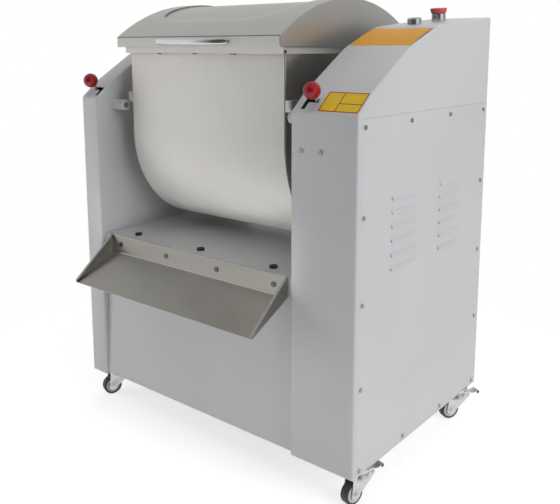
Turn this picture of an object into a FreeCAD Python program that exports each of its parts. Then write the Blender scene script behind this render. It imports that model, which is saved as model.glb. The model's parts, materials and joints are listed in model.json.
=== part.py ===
"""Dough mixer: two pedestals on casters carry a tilting bowl with a lid, an agitator and its drive."""
import FreeCAD
import Part
import math
import os
from types import SimpleNamespace

doc = FreeCAD.newDocument("dough_mixer")
sheet = doc.addObject("Spreadsheet::Sheet", "Sizes")

# Driving dimensions in millimetres and degrees, with what each one means.
# The ones named high or run are counted from the foot of the pedestals' front face.
driving_sizes = [
    ("left_wide", 60, "width of the left pedestal"),
    ("gap_wide", 627, "clear width between the pedestals"),
    ("right_wide", 161, "width of the right pedestal"),
    ("bowl_rear_gap", 31, "bowl from the rear faces of the pedestals"),
    ("caster_high", 81, "floor to the underside of the pedestals"),
    ("front_high", 744, "height of the front face"),
    ("slope_run", 48, "depth of the flat slope above the front face"),
    ("slope_rise", 40, "rise of that flat slope"),
    ("crest_run", 245, "depth where the long curve ends"),
    ("crest_high", 894.5, "height where the long curve ends"),
    ("crest_bow", 6, "how far the long curve stands over its chord"),
    ("brow_run", 330, "depth where the rear top starts"),
    ("brow_high", 918.5, "height where the rear top starts"),
    ("brow_bow", 2, "how far the short curve stands over its chord"),
    ("rear_high", 942, "height of the rear face"),
    ("skin", 2, "sheet of the casing"),
    ("plate", 3, "sheet of the inner side plates"),
    ("seam", 0.4, "visible seam round the side covers"),
    ("cover_front_run", 13, "front edge of a side cover"),
    ("cover_rear_gap", 3, "side covers from the rear faces"),
    ("cover_low", 3, "lower edge of a side cover"),
    ("cover_high", 736, "upper edge of a side cover"),
    ("ledge", 36, "depth of the ledge that the side covers lie on"),
    ("fit", 0.05, "radial clearance of a running fit"),
    ("spare", 0.3, "clearance between pieces that only lie beside each other"),
    ("screw_head", 9.5, "diameter of a cover screw's head"),
    ("screw_head_high", 2.4, "height of a cover screw's head"),
    ("screw_shank", 5, "diameter of a cover screw"),
    ("screw_long", 9, "length of a cover screw under its head"),
    ("screw_inset", 24, "cover screws from the front and rear faces"),
    ("screw_low", 11.5, "lowest row of cover screws"),
    ("screw_pitch", 177, "pitch of the cover screws up a side"),
    ("louvre_long", 100, "length of a louvre"),
    ("louvre_tall", 9, "height of a louvre's hood"),
    ("louvre_out", 4, "how far a louvre's hood stands out"),
    ("louvre_pitch", 30, "pitch of the louvres"),
    ("louvre_front_run", 130, "front end of the front louvres"),
    ("louvre_rear_run", 341, "front end of the rear louvres"),
    ("louvre_low", 412, "height of the lowest louvre"),
    ("deck_gap", 20, "space between the bowl and the deck"),
    ("deck_plug_run", 51, "rubber plugs from the front face"),
    ("deck_plug_off", 226, "outer rubber plugs from the middle one"),
    ("deck_plug_wide", 19, "diameter of a rubber plug's head"),
    ("deck_plug_high", 4, "height of a rubber plug's head"),
    ("deck_hole", 12, "hole in the deck under a rubber plug"),
    ("panel_top_run", 18, "front panel behind the front faces, at its top"),
    ("panel_foot_run", 5, "front panel behind the front faces, at its foot"),
    ("panel_foot_high", 5, "foot of the front panel"),
    ("panel_straight", 55, "upright top of the front panel"),
    ("tray_wide", 592, "width of the discharge tray"),
    ("tray_skin", 2, "sheet of the discharge tray"),
    ("tray_flange", 46, "height of the tray's screwed flange"),
    ("tray_run", 116, "how far the tray reaches out from its flange"),
    ("tray_angle", 26, "slope of the tray"),
    ("tray_tip", 7, "height of the tray's cheeks at the tip"),
    ("tray_screw_pitch", 170, "pitch of the tray's screws"),
    ("tray_screw_head", 12, "diameter of the tray screws' heads"),
    ("bowl_gap", 65, "space between the bowl and each pedestal"),
    ("bowl_front_run", 63, "front wall of the bowl from the front faces"),
    ("bowl_radius", 245, "outer radius of the bowl's round bottom"),
    ("bowl_skin", 2.5, "sheet of the bowl"),
    ("bowl_end", 4, "end plates of the bowl"),
    ("axis_high", 655, "height of the shaft that the bowl turns about"),
    ("bowl_top_high", 872, "top of the bowl's rim"),
    ("rim_out", 12, "how far the rim stands out in front and behind"),
    ("rim_side", 5, "how far the rim stands out at the ends"),
    ("rim_tall", 16, "height of the rim"),
    ("lid_front_over", 20, "lid in front of the rim"),
    ("lid_back_over", 8, "lid behind the rim"),
    ("lid_side_over", 13, "lid past the bowl's ends"),
    ("lid_skirt", 24, "height of the lid's skirt"),
    ("lid_crown", 83, "rise of the lid's curve over its skirt"),
    ("lid_skin", 1.5, "sheet of the lid"),
    ("lid_panel_in", 50, "pressed panel of the lid from its edges"),
    ("lid_panel_out", 3, "how far the pressed panel stands up"),
    ("lid_panel_corner", 110, "corner radius of the pressed panel"),
    ("handle_wide", 232, "width of the lid's handle"),
    ("handle_out", 30, "how far the handle stands out"),
    ("handle_tall", 19, "height of the handle at its middle"),
    ("handle_thick", 6, "thickness of the handle's bow"),
    ("handle_end", 8, "height of the handle at its ends"),
    ("hinge_pin", 8, "diameter of the lid's hinge pin"),
    ("hinge_knuckle", 14, "diameter of the lid's hinge knuckles"),
    ("hinge_wide", 60, "length of a lid hinge"),
    ("hinge_off", 180, "lid hinges from the middle of the bowl"),
    ("trunnion_out", 64, "outer diameter of the bowl's trunnions"),
    ("trunnion_bore", 50, "bore of the bowl's trunnions"),
    ("trunnion_flange", 130, "diameter of the trunnions' flanges"),
    ("flange_thick", 8, "thickness of the trunnions' flanges"),
    ("bush_out", 74, "outer diameter of the trunnion bushes"),
    ("housing_flange", 112, "flange of a trunnion bearing"),
    ("housing_hub", 90, "hub of a trunnion bearing"),
    ("housing_long", 26, "length of the bearings on the side plates"),
    ("shaft_wide", 44, "diameter of the agitator shaft"),
    ("seal_out", 70, "outer diameter of a shaft seal"),
    ("seal_thick", 8, "thickness of a shaft seal"),
    ("wing_gap", 35.5, "agitator bars from the wall of the bowl"),
    ("wing_bar", 24, "diameter of an agitator bar"),
    ("wing_arm_thick", 12, "thickness of an agitator arm"),
    ("wing_arm_wide", 36, "width of an agitator arm"),
    ("wing_hub", 76, "diameter of an agitator hub"),
    ("wing_side", 14, "agitator arms from the bowl's end plates"),
    ("gear_module", 3, "module of the gear pair"),
    ("gear_teeth", 90, "teeth of the gear on the agitator shaft"),
    ("pinion_teeth", 15, "teeth of the pinion"),
    ("gear_wide", 20, "face width of the gear"),
    ("pinion_wide", 24, "face width of the pinion"),
    ("backlash", 0.5, "play between the gears' teeth"),
    ("counter_shaft", 30, "diameter of the pinion's shaft"),
    ("counter_hub", 60, "hub of the pinion shaft's bearing"),
    ("counter_flange", 84, "flange of the pinion shaft's bearing"),
    ("big_pulley", 226, "diameter of the large pulley under its belt"),
    ("small_pulley", 62, "diameter of the motor's pulley under its belt"),
    ("belt_wide", 22, "width of the drive belt"),
    ("belt_thick", 6, "thickness of the drive belt"),
    ("pulley_flange", 2.5, "thickness of a pulley's flanges"),
    ("pulley_off", 34, "pulleys from the side plate's inner face"),
    ("gear_off", 74, "gear from the side plate's inner face"),
    ("motor_wide", 150, "diameter of the motor"),
    ("motor_long", 230, "length of the motor"),
    ("motor_foot_high", 90, "height of the motor's shaft over its feet"),
    ("fin_run", 30, "cooling fins from the motor's ends"),
    ("terminal_long", 90, "length of the motor's terminal box"),
    ("terminal_wide", 80, "width of the motor's terminal box"),
    ("terminal_run", 20, "terminal box from the motor's shaft end"),
    ("motor_shaft", 24, "diameter of the motor's shaft"),
    ("motor_off", 12, "motor from the right side plate"),
    ("bar_wide", 40, "section of the base frame's channels"),
    ("bar_skin", 3, "sheet of the base frame's channels"),
    ("bar_low", 6, "foot of the base frame"),
    ("stop_drop", 172, "middle of the bar behind the bowl, under the top of its rim"),
    ("stop_bar", 20, "depth of the bar behind the bowl"),
    ("stop_tall", 40, "height of the bar behind the bowl"),
    ("stop_buffer", 30, "diameter of the buffers on that bar"),
    ("lock_run", 60, "lock pins from the front faces"),
    ("lock_drop", 148, "lock pins under the top of the bowl's rim"),
    ("lock_play", 1, "play of a lock pin under its lug"),
    ("lock_guide", 27, "outer diameter of a lock pin's guide"),
    ("lock_guide_out", 45, "how far the guides stand out of the pedestals"),
    ("lock_pin", 16, "diameter of a lock pin"),
    ("lock_stroke", 22, "travel of a lock pin"),
    ("lock_reach", 5.5, "locked pin past the end of its guide"),
    ("lock_left_off", 31, "left lever from its side plate's inner face"),
    ("lock_right_off", 46, "right lever from its side plate's inner face"),
    ("lever_wide", 8, "diameter of a lock lever"),
    ("lever_out", 27, "middle of a knob over the sloping top"),
    ("knob_wide", 36, "diameter of a knob"),
    ("slot_wide", 11, "width of a lever's slot"),
    ("slot_leg", 20, "length of the slot's leg down the slope"),
    ("lug_thick", 18, "how far the bowl's lock lugs stand out"),
    ("lug_deep", 30, "depth of a lock lug"),
    ("lug_tall", 26, "height of a lock lug"),
    ("button_side", 81, "buttons from the right pedestal's outer side"),
    ("start_run", 351, "start button from the front face"),
    ("estop_run", 468, "stop button from the front face"),
    ("button_hole", 22, "hole for a button"),
    ("bezel_wide", 32, "diameter of the start button's bezel"),
    ("bezel_high", 16, "height of the start button's bezel"),
    ("start_wide", 22, "diameter of the start button's cap"),
    ("start_travel", 3, "travel of the start button"),
    ("estop_wide", 41, "diameter of the stop button's head"),
    ("estop_collar", 34, "diameter of the stop button's collar"),
    ("estop_collar_high", 20, "height of the stop button's collar"),
    ("estop_head_high", 11.5, "height of the stop button's head"),
    ("estop_play", 0.5, "room between the stop button's head and its collar"),
    ("estop_travel", 4, "travel of the stop button"),
    ("button_body", 45, "depth of a button's body under the top"),
    ("face_screw_high", 666, "screws in the front face above the foot"),
    ("face_screw_side", 87, "outer one of them from the outer side"),
    ("face_screw_pitch", 48, "pitch of the screws in the front face"),
    ("box_wide", 60, "width of the contactor box"),
    ("box_deep", 110, "depth of the contactor box"),
    ("box_tall", 180, "height of the contactor box"),
    ("box_high", 560, "foot of the contactor box"),
    ("gland_out", 22, "how far the cable gland stands out"),
    ("gland_wide", 28, "diameter of the cable gland's nut"),
    ("gland_thread", 20, "thread of the cable gland"),
    ("gland_bore", 10, "bore of the cable gland"),
    ("gland_high", 130, "height of the cable gland"),
    ("caster_front_run", 64, "front casters from the front faces"),
    ("caster_rear_gap", 58, "rear casters from the rear faces"),
    ("caster_side", 24, "right casters from the outer side"),
    ("caster_head", 44, "diameter of a caster's swivel head"),
    ("caster_head_high", 12, "height of a caster's swivel head"),
    ("caster_stem", 12, "thread of a caster"),
    ("caster_stem_long", 18, "length of that thread"),
    ("caster_trail", 22, "wheel's axle from the swivel's axis"),
    ("wheel_wide", 50, "diameter of a wheel"),
    ("tread_wide", 20, "width of a wheel"),
    ("tread_flat", 0.15, "how far a loaded tread flattens on the floor"),
    ("fork_skin", 2.5, "sheet of a caster's fork"),
    ("fork_gap", 1.5, "room between a wheel and its fork"),
    ("axle_wide", 8, "diameter of a wheel's axle"),
    ("pedal_long", 46, "length of a brake pedal"),
    ("pedal_wide", 22, "width of a brake pedal"),
    ("pedal_eye", 10, "diameter of a brake pedal's eye"),
    ("pedal_pin", 4, "diameter of the pin that a brake pedal turns on"),
]
for row, (name, value, meaning) in enumerate(driving_sizes, 1):
    sheet.set(f"A{row}", meaning)
    sheet.set(f"B{row}", str(value))
    sheet.setAlias(f"B{row}", name)
doc.recompute()
d = SimpleNamespace(**{name: float(sheet.get(name)) for name, value, meaning in driving_sizes})

# Sizes that follow from the bowl: the pedestals' depth, the deck, the locks, the bar and the agitator.
d.body_deep = d.bowl_front_run + 2 * d.bowl_radius + d.bowl_rear_gap
d.deck_high = d.axis_high - d.bowl_radius - d.deck_gap
d.lock_high = d.bowl_top_high - d.lock_drop
d.stop_high = d.bowl_top_high - d.stop_drop
d.wing_reach = d.bowl_radius - d.bowl_skin - d.wing_gap - d.wing_bar / 2

V = FreeCAD.Vector
UPRIGHT = FreeCAD.Rotation()
TO_RIGHT = FreeCAD.Rotation(V(0, 1, 0), 90)
TO_LEFT = FreeCAD.Rotation(V(0, 1, 0), -90)
TO_BACK = FreeCAD.Rotation(V(1, 0, 0), -90)
TO_FRONT = FreeCAD.Rotation(V(1, 0, 0), 90)
SIDE_ON = FreeCAD.Rotation(V(1, 1, 1), 120)
FACE_ON = FreeCAD.Rotation(V(1, 0, 0), 90)

# The origin is on the floor under the middle of the overall box.
tray_out = d.tray_run + d.tray_skin - d.panel_top_run
y_front = -(d.body_deep + d.gland_out - tray_out) / 2
x_left = -(d.left_wide + d.gap_wide + d.right_wide + d.louvre_out - d.screw_head_high) / 2
x_left_in = x_left + d.left_wide
x_right_in = x_left_in + d.gap_wide
x_right = x_right_in + d.right_wide
z_foot = d.caster_high
x_middle = x_left_in + d.gap_wide / 2
y_axis = y_front + d.bowl_front_run + d.bowl_radius
z_axis = z_foot + d.axis_high

nodes = []


def node(item, name):
    """Name a finished piece and keep it for the list of pieces."""
    item.Label = name
    nodes.append(item)
    return item


def cylinder(name, radius, length, place, turn=UPRIGHT):
    """A round bar whose radius and length are rules on the sheet."""
    item = doc.addObject("Part::Cylinder", name)
    item.setExpression("Radius", radius)
    item.setExpression("Height", length)
    item.Placement = FreeCAD.Placement(V(*place), turn)
    return item


def box(name, long_rule, deep_rule, tall_rule, place, turn=UPRIGHT):
    """A block whose three sides are rules on the sheet."""
    item = doc.addObject("Part::Box", name)
    item.setExpression("Length", long_rule)
    item.setExpression("Width", deep_rule)
    item.setExpression("Height", tall_rule)
    item.Placement = FreeCAD.Placement(V(*place), turn)
    return item


def join(name, pieces):
    """Pieces welded into one."""
    item = doc.addObject("Part::MultiFuse", name)
    item.Shapes = pieces
    item.Refine = True
    return item


def cut(name, base, tools):
    """A piece with the tools taken out of it."""
    tool = tools[0]
    if len(tools) > 1:
        tool = doc.addObject("Part::MultiFuse", name + "_tools")
        tool.Shapes = tools
    item = doc.addObject("Part::Cut", name)
    item.Base = base
    item.Tool = tool
    return item


def group(name, pieces):
    """Like pieces kept as separate solids of one node."""
    item = doc.addObject("Part::Compound", name)
    item.Links = pieces
    return item


def loop(points):
    """Straight outline through the points and back to the first."""
    ends = [V(u, v, 0) for u, v in points]
    return [Part.LineSegment(ends[i - 1], ends[i]) for i in range(len(ends))]


def ring(u, v, radius):
    """Round outline."""
    return [Part.Circle(V(u, v, 0), V(0, 0, 1), radius)]


def bow(start, end, height):
    """Arc from start to end that stands height over its chord, to the left of it."""
    a = V(*start, 0)
    b = V(*end, 0)
    over = (b - a).cross(V(0, 0, -1)).normalize() * -height
    return Part.Arc(a, (a + b) / 2 + over, b)


def outline_of(wire):
    """Curves of a flat wire, with every arc anticlockwise as a sketch needs it."""
    curves = []
    for edge in wire.OrderedEdges:
        a, b = edge.Vertexes[0].Point, edge.Vertexes[-1].Point
        if edge.Curve.TypeId == "Part::GeomLine":
            curves.append(Part.LineSegment(a, b))
            continue
        middle = edge.valueAt((edge.FirstParameter + edge.LastParameter) / 2)
        if (middle - a).cross(b - middle).z < 0:
            a, b = b, a
        curves.append(Part.Arc(a, middle, b))
    return curves


def slab(name, outlines, thick_rule, place, turn=SIDE_ON):
    """A plate: closed outlines in a sketch, pushed out by a rule on the sheet."""
    sketch = doc.addObject("Sketcher::SketchObject", name + "_outline")
    sketch.addGeometry(outlines, False)
    sketch.Placement = FreeCAD.Placement(V(*place), turn)
    plate = doc.addObject("Part::Extrusion", name)
    plate.Base = sketch
    plate.DirMode = "Normal"
    plate.Solid = True
    plate.FaceMakerClass = "Part::FaceMakerBullseye"
    plate.setExpression("LengthFwd", thick_rule)
    return plate


def turned_body(name, points, place, turn=UPRIGHT):
    """A turned piece: half its section, as radius and height, spun about its axis."""
    body = doc.addObject("PartDesign::Body", name)
    sketch = body.newObject("Sketcher::SketchObject", name + "_section")
    upright_plane = next(p for p in body.Origin.OriginFeatures if p.Role == "XZ_Plane")
    sketch.AttachmentSupport = (upright_plane, [""])
    sketch.MapMode = "FlatFace"
    sketch.addGeometry(loop(points) if isinstance(points[0], tuple) else points, False)
    spin = body.newObject("PartDesign::Revolution", name + "_turned")
    spin.Profile = sketch
    spin.ReferenceAxis = (sketch, ["V_Axis"])
    spin.Angle = 360
    body.Tip = spin
    body.Placement = FreeCAD.Placement(V(*place), turn)
    return body


# Side outline of a pedestal, in depth and height from the foot of its front face.
slope_end = (d.slope_run, d.front_high + d.slope_rise)
crest = (d.crest_run, d.crest_high)
brow = (d.brow_run, d.brow_high)


def side_wire(inset):
    """Side outline of a pedestal, moved in by inset all round."""
    corner = V(0, 0, 0)
    rear_foot = V(d.body_deep, 0, 0)
    rear_top = V(d.body_deep, d.rear_high, 0)
    front_top = V(0, d.front_high, 0)
    curves = [
        Part.LineSegment(corner, rear_foot),
        Part.LineSegment(rear_foot, rear_top),
        Part.LineSegment(rear_top, V(*brow, 0)),
        bow(brow, crest, -d.brow_bow),
        bow(crest, slope_end, -d.crest_bow),
        Part.LineSegment(V(*slope_end, 0), front_top),
        Part.LineSegment(front_top, corner),
    ]
    wire = Part.Wire([curve.toShape() for curve in curves])
    return wire.makeOffset2D(-inset, 2) if inset else wire


def cover_outline(room):
    """Outline of a side cover, or with room round it of the opening that it closes."""
    near, far = d.cover_front_run - room, d.body_deep - d.cover_rear_gap + room
    low, high = d.cover_low - room, d.cover_high + room
    return loop([(near, low), (far, low), (far, high), (near, high)])


cover_screw_spots = [
    (run, d.screw_low + d.screw_pitch * step)
    for run in (d.screw_inset, d.body_deep - d.screw_inset)
    for step in range(5)
]
third = (d.body_deep - 2 * d.screw_inset) / 3
for step in (0, 4):
    for share in (1, 2):
        spot = (d.screw_inset + third * share, d.screw_low + d.screw_pitch * step)
        cover_screw_spots.append(spot)

slope_angle = math.degrees(math.atan2(d.slope_rise, d.slope_run))
top_angle = math.degrees(math.atan2(d.rear_high - d.brow_high, d.body_deep - d.brow_run))
slope_up = V(0, -math.sin(math.radians(slope_angle)), math.cos(math.radians(slope_angle)))
slope_down = V(0, -math.cos(math.radians(slope_angle)), -math.sin(math.radians(slope_angle)))
top_up = V(0, -math.sin(math.radians(top_angle)), math.cos(math.radians(top_angle)))
ON_SLOPE = FreeCAD.Rotation(V(1, 0, 0), slope_angle)
ON_TOP = FreeCAD.Rotation(V(1, 0, 0), top_angle)
lock_y = y_front + d.lock_run
lock_z = z_foot + d.lock_high
slope_origin = V(0, y_front, z_foot + d.front_high)
lever_depth = (slope_origin - V(0, lock_y, lock_z)).dot(slope_up)


def top_place(run):
    """Point on the middle line of the buttons, on the rear top at a depth."""
    high = d.brow_high + (run - d.brow_run) * math.tan(math.radians(top_angle))
    return V(x_right - d.button_side, y_front + run, z_foot + high)


# Pedestals. Each is a folded sheet casing, an inner side plate and a screwed side cover.
sides = {
    "left": SimpleNamespace(low=x_left, high=x_left_in, inward=1, wide="Sizes.left_wide"),
    "right": SimpleNamespace(low=x_right_in, high=x_right, inward=-1, wide="Sizes.right_wide"),
}
for side, s in sides.items():
    s.face = s.high if s.inward > 0 else s.low
    s.outer = s.low if s.inward > 0 else s.high
    s.back = s.face - s.inward * d.plate
    s.lever_x = s.face - s.inward * (d.lock_left_off if side == "left" else d.lock_right_off)
    s.away = TO_LEFT if s.inward > 0 else TO_RIGHT
    s.towards = TO_RIGHT if s.inward > 0 else TO_LEFT

caster_spots = {
    "front_left": SimpleNamespace(x=x_left + d.left_wide / 2, run=d.caster_front_run, turn=-20),
    "front_right": SimpleNamespace(x=x_right - d.caster_side, run=d.caster_front_run, turn=-12),
    "rear_left": SimpleNamespace(x=x_left + d.left_wide / 2, run=d.body_deep - d.caster_rear_gap, turn=35),
    "rear_right": SimpleNamespace(x=x_right - d.caster_side, run=d.body_deep - d.caster_rear_gap, turn=-30),
}


def slot_tool(name, x, inward, through):
    """Block that cuts the lever's angled slot through the sloping top."""
    middle = V(0, lock_y, lock_z) + slope_up * (lever_depth - through)
    half = d.slot_wide / 2
    start = min(x, x + inward * d.lock_stroke) - half
    corner = V(start, 0, 0) + middle + slope_down * half
    across = box(name + "_across", "Sizes.lock_stroke + Sizes.slot_wide", "Sizes.slot_wide",
                 "Sizes.skin * 6", corner, ON_SLOPE)
    leg_x = x + inward * d.lock_stroke - half
    leg_corner = V(leg_x, 0, 0) + middle + slope_down * (d.slot_leg + half)
    leg = box(name + "_leg", "Sizes.slot_wide", "Sizes.slot_leg + Sizes.slot_wide",
              "Sizes.skin * 6", leg_corner, ON_SLOPE)
    return [across, leg]


shell_holes = {"left": [], "right": []}
for corner, c in caster_spots.items():
    side = corner.split("_")[1]
    hole = cylinder(f"stem_hole_{corner}", "Sizes.caster_stem / 2 + Sizes.spare", "Sizes.skin * 3",
                    (c.x, y_front + c.run, z_foot - d.skin))
    shell_holes[side].append(hole)
for run, name in ((d.start_run, "start"), (d.estop_run, "estop")):
    low = top_place(run) - top_up * d.skin * 2
    hole = cylinder(f"{name}_hole", "Sizes.button_hole / 2 + Sizes.spare", "Sizes.skin * 4", low, ON_TOP)
    shell_holes["right"].append(hole)
for step in (0, 1):
    x = x_right - d.face_screw_side - d.face_screw_pitch * step
    hole = cylinder(f"face_screw_hole_{step}", "Sizes.screw_shank / 2 + Sizes.fit", "Sizes.skin * 3",
                    (x, y_front - d.skin, z_foot + d.face_screw_high), TO_BACK)
    shell_holes["right"].append(hole)
gland_x = x_right - d.right_wide / 2
y_rear = y_front + d.body_deep
shell_holes["right"].append(
    cylinder("gland_hole", "Sizes.gland_thread / 2 + Sizes.fit", "Sizes.skin * 3",
             (gland_x, y_rear - 2 * d.skin, z_foot + d.gland_high), TO_BACK))

gear_distance = d.gear_module * (d.gear_teeth + d.pinion_teeth) / 2
counter_high = d.axis_high - gear_distance
motor_high = d.bar_low + d.bar_wide + d.bar_skin + d.motor_foot_high
axis_run = d.bowl_front_run + d.bowl_radius

for side, s in sides.items():
    outer = slab(f"{side}_block", outline_of(side_wire(0)), s.wide, (s.low, y_front, z_foot))
    room_x = s.low + d.skin if s.inward > 0 else s.low - d.skin
    room = slab(f"{side}_room", outline_of(side_wire(d.skin)), s.wide, (room_x, y_front, z_foot))
    opening = slab(f"{side}_opening", cover_outline(d.seam), "Sizes.skin * 3",
                   (s.outer - 1.5 * d.skin, y_front, z_foot))
    hollow = cut(f"{side}_hollow", outer, [room, opening])
    ledge_x = s.outer + s.inward * 1.5 * d.skin - d.skin / 2
    edge = d.skin / 2
    ledge_rim = loop([(edge, edge), (d.body_deep - edge, edge),
                      (d.body_deep - edge, d.cover_high + 3 * d.skin), (edge, d.cover_high + 3 * d.skin)])
    ledge_room = loop([(d.ledge, d.ledge), (d.body_deep - d.ledge, d.ledge),
                       (d.body_deep - d.ledge, d.cover_high - d.ledge),
                       (d.ledge, d.cover_high - d.ledge)])
    screw_holes = [curve for u, v in cover_screw_spots
                   for curve in ring(u, v, d.screw_shank / 2 + d.fit)]
    ledge = slab(f"{side}_ledge", ledge_rim + ledge_room + screw_holes, "Sizes.skin",
                 (ledge_x, y_front, z_foot))
    folded = join(f"{side}_folded", [hollow, ledge])
    tools = shell_holes[side] + slot_tool(f"{side}_slot", s.lever_x, s.inward, 3 * d.skin)
    node(cut(f"{side}_shell", folded, tools), f"{side}_pedestal_shell")

    holes = ring(axis_run, d.axis_high, d.trunnion_out / 2 + 2)
    holes += ring(d.lock_run, d.lock_high, d.lock_guide / 2 + d.fit)
    if side == "right":
        holes += ring(axis_run, counter_high, d.counter_shaft / 2 + 2)
        holes += ring(axis_run, motor_high, d.motor_shaft / 2 + 4)
    inset = outline_of(side_wire(d.skin + d.spare))
    node(slab(f"{side}_plate", inset + holes, "Sizes.plate",
              (min(s.face, s.back), y_front, z_foot)), f"{side}_inner_plate")

    cover_x = s.outer if s.inward > 0 else s.outer - d.skin
    cover = slab(f"{side}_cover", cover_outline(0) + screw_holes, "Sizes.skin",
                 (cover_x, y_front, z_foot))
    if side == "right":
        hoods = []
        gaps = []
        for front_run in (d.louvre_front_run, d.louvre_rear_run):
            for step in range(6):
                low = z_foot + d.louvre_low + d.louvre_pitch * step
                start = y_front + front_run
                place = (x_right, start + d.louvre_long, low)
                name = f"louvre_{int(front_run)}_{step}"
                out, tall, thin = d.louvre_out, d.louvre_tall, d.skin / 2
                rise = loop([(0, 0), (out, 0), (out, thin), (0, tall)])
                under = loop([(-3 * thin, -thin), (out - thin, -thin), (out - thin, 0), (-3 * thin, tall - thin)])
                hoods.append(slab(name, rise, "Sizes.louvre_long", place, FACE_ON))
                inner = (x_right, start + d.louvre_long - thin, low)
                gaps.append(slab(name + "_gap", under, "Sizes.louvre_long - Sizes.skin", inner, FACE_ON))
        cover = cut("right_cover_pressed", join("right_cover_hoods", [cover] + hoods), gaps)
    node(cover, f"{side}_side_cover")


def button_head_screw(name, head_rule, long_rule, place, turn):
    """A round-headed screw that lies with its head on a face and its shank behind it."""
    head = cylinder(name + "_head", head_rule, "Sizes.screw_head_high", place, turn)
    back = V(*place) - turn.multVec(V(0, 0, 1)) * float(d.screw_long)
    shank = cylinder(name + "_shank", "Sizes.screw_shank / 2", long_rule, back, turn)
    return join(name, [head, shank])


screws = []
for side, s in sides.items():
    for number, (u, v) in enumerate(cover_screw_spots):
        spot = (s.outer, y_front + u, z_foot + v)
        screws.append(button_head_screw(f"{side}_screw_{number}", "Sizes.screw_head / 2",
                                        "Sizes.screw_long + Sizes.skin / 2", spot, s.away))
for step in (0, 1):
    x = x_right - d.face_screw_side - d.face_screw_pitch * step
    spot = (x, y_front, z_foot + d.face_screw_high)
    screws.append(button_head_screw(f"face_screw_{step}", "Sizes.screw_head / 2",
                                    "Sizes.screw_long + Sizes.skin / 2", spot, TO_FRONT))
node(group("cover_screw_group", screws), "cover_screws")

# Base frame: folded channels between the inner side plates, with a shelf for the motor.
rail_low = z_foot + d.bar_low
rail_back = y_front + d.body_deep - 2 * d.bar_wide
rail_runs = [2 * d.panel_top_run, axis_run - 2.5 * d.bar_wide, axis_run + 1.5 * d.bar_wide]
rail_runs.append(d.body_deep - 1.5 * d.bar_wide)
bars = []
hollows = []
inner = "Sizes.bar_wide - 2 * Sizes.bar_skin"
for number, run in enumerate(rail_runs):
    place = (x_left_in + d.spare, y_front + run, rail_low)
    bars.append(box(f"cross_bar_{number}", "Sizes.gap_wide - 2 * Sizes.spare", "Sizes.bar_wide",
                    "Sizes.bar_wide", place))
    place = (x_left_in + d.bar_skin, y_front + run + d.bar_skin, rail_low - d.bar_skin)
    hollows.append(box(f"cross_hollow_{number}", "Sizes.gap_wide - 2 * Sizes.bar_skin", inner,
                       "Sizes.bar_wide", place))
long_deep = rail_runs[-1] - rail_runs[0]
for number, x in enumerate((x_left_in + d.spare, x_right_in - d.spare - d.bar_wide)):
    bars.append(box(f"long_bar_{number}", "Sizes.bar_wide", f"{long_deep}", "Sizes.bar_wide",
                    (x, y_front + rail_runs[0], rail_low)))
    hollows.append(box(f"long_hollow_{number}", inner, f"{long_deep}", "Sizes.bar_wide",
                       (x + d.bar_skin, y_front + rail_runs[0] + d.bar_skin, rail_low - d.bar_skin)))
welded = cut("welded_channels", join("channels", bars), hollows)
shelf_x = x_right_in - d.motor_off - d.motor_long - d.bar_wide
shelf = box("motor_shelf", "Sizes.motor_long + Sizes.bar_wide", "Sizes.bar_wide * 5", "Sizes.bar_skin",
            (shelf_x, y_axis - 2.5 * d.bar_wide, rail_low + d.bar_wide))
node(join("base_frame_welded", [welded, shelf]), "base_frame")

# Deck, front panel and rear panel close the middle of the machine.
deck_x = x_left_in + d.spare
deck_wide = "Sizes.gap_wide - 2 * Sizes.spare"
panel_face = d.panel_top_run + d.skin
lip = d.panel_straight / 2
deck_top = d.deck_high
deck_section = loop([
    (d.panel_top_run, deck_top), (d.panel_top_run, deck_top - d.skin),
    (panel_face + d.spare, deck_top - d.skin), (panel_face + d.spare, deck_top - lip),
    (panel_face + d.spare + d.skin, deck_top - lip), (panel_face + d.spare + d.skin, deck_top - d.skin),
    (d.body_deep - 4 * d.skin, deck_top - d.skin), (d.body_deep - 4 * d.skin, deck_top)])
deck_blank = slab("deck_blank", deck_section, deck_wide, (deck_x, y_front, z_foot))
plug_xs = [x_middle + d.deck_plug_off * step for step in (-1, 0, 1)]
plug_y = y_front + d.deck_plug_run
plug_holes = [cylinder(f"plug_hole_{number}", "Sizes.deck_hole / 2", "Sizes.skin * 3",
                       (x, plug_y, z_foot + deck_top - 2 * d.skin))
              for number, x in enumerate(plug_xs)]
tray_screw_xs = [x_middle + d.tray_screw_pitch * (step - 1.5) for step in range(4)]
tray_screw_z = z_foot + deck_top - d.tray_flange / 2
tray_holes = [cylinder(f"tray_screw_hole_{number}", "Sizes.screw_shank / 2 + Sizes.fit", "Sizes.skin * 8",
                       (x, y_front + d.panel_top_run - 3 * d.skin, tray_screw_z), TO_BACK)
              for number, x in enumerate(tray_screw_xs)]
node(cut("deck", deck_blank, plug_holes + tray_holes), "deck_panel")

plugs = []
for number, x in enumerate(plug_xs):
    rise = d.deck_plug_high
    section = [(0, -3 * d.skin), (d.deck_hole / 2 - d.spare, -3 * d.skin), (d.deck_hole / 2 - d.spare, 0),
               (d.deck_plug_wide / 2, 0), (d.deck_plug_wide / 2, rise / 2),
               (d.deck_plug_wide / 2 - rise / 2, rise), (0, rise)]
    plugs.append(turned_body(f"plug_{number}", section, (x, plug_y, z_foot + deck_top)))
node(group("plug_group", plugs), "deck_plugs")

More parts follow.
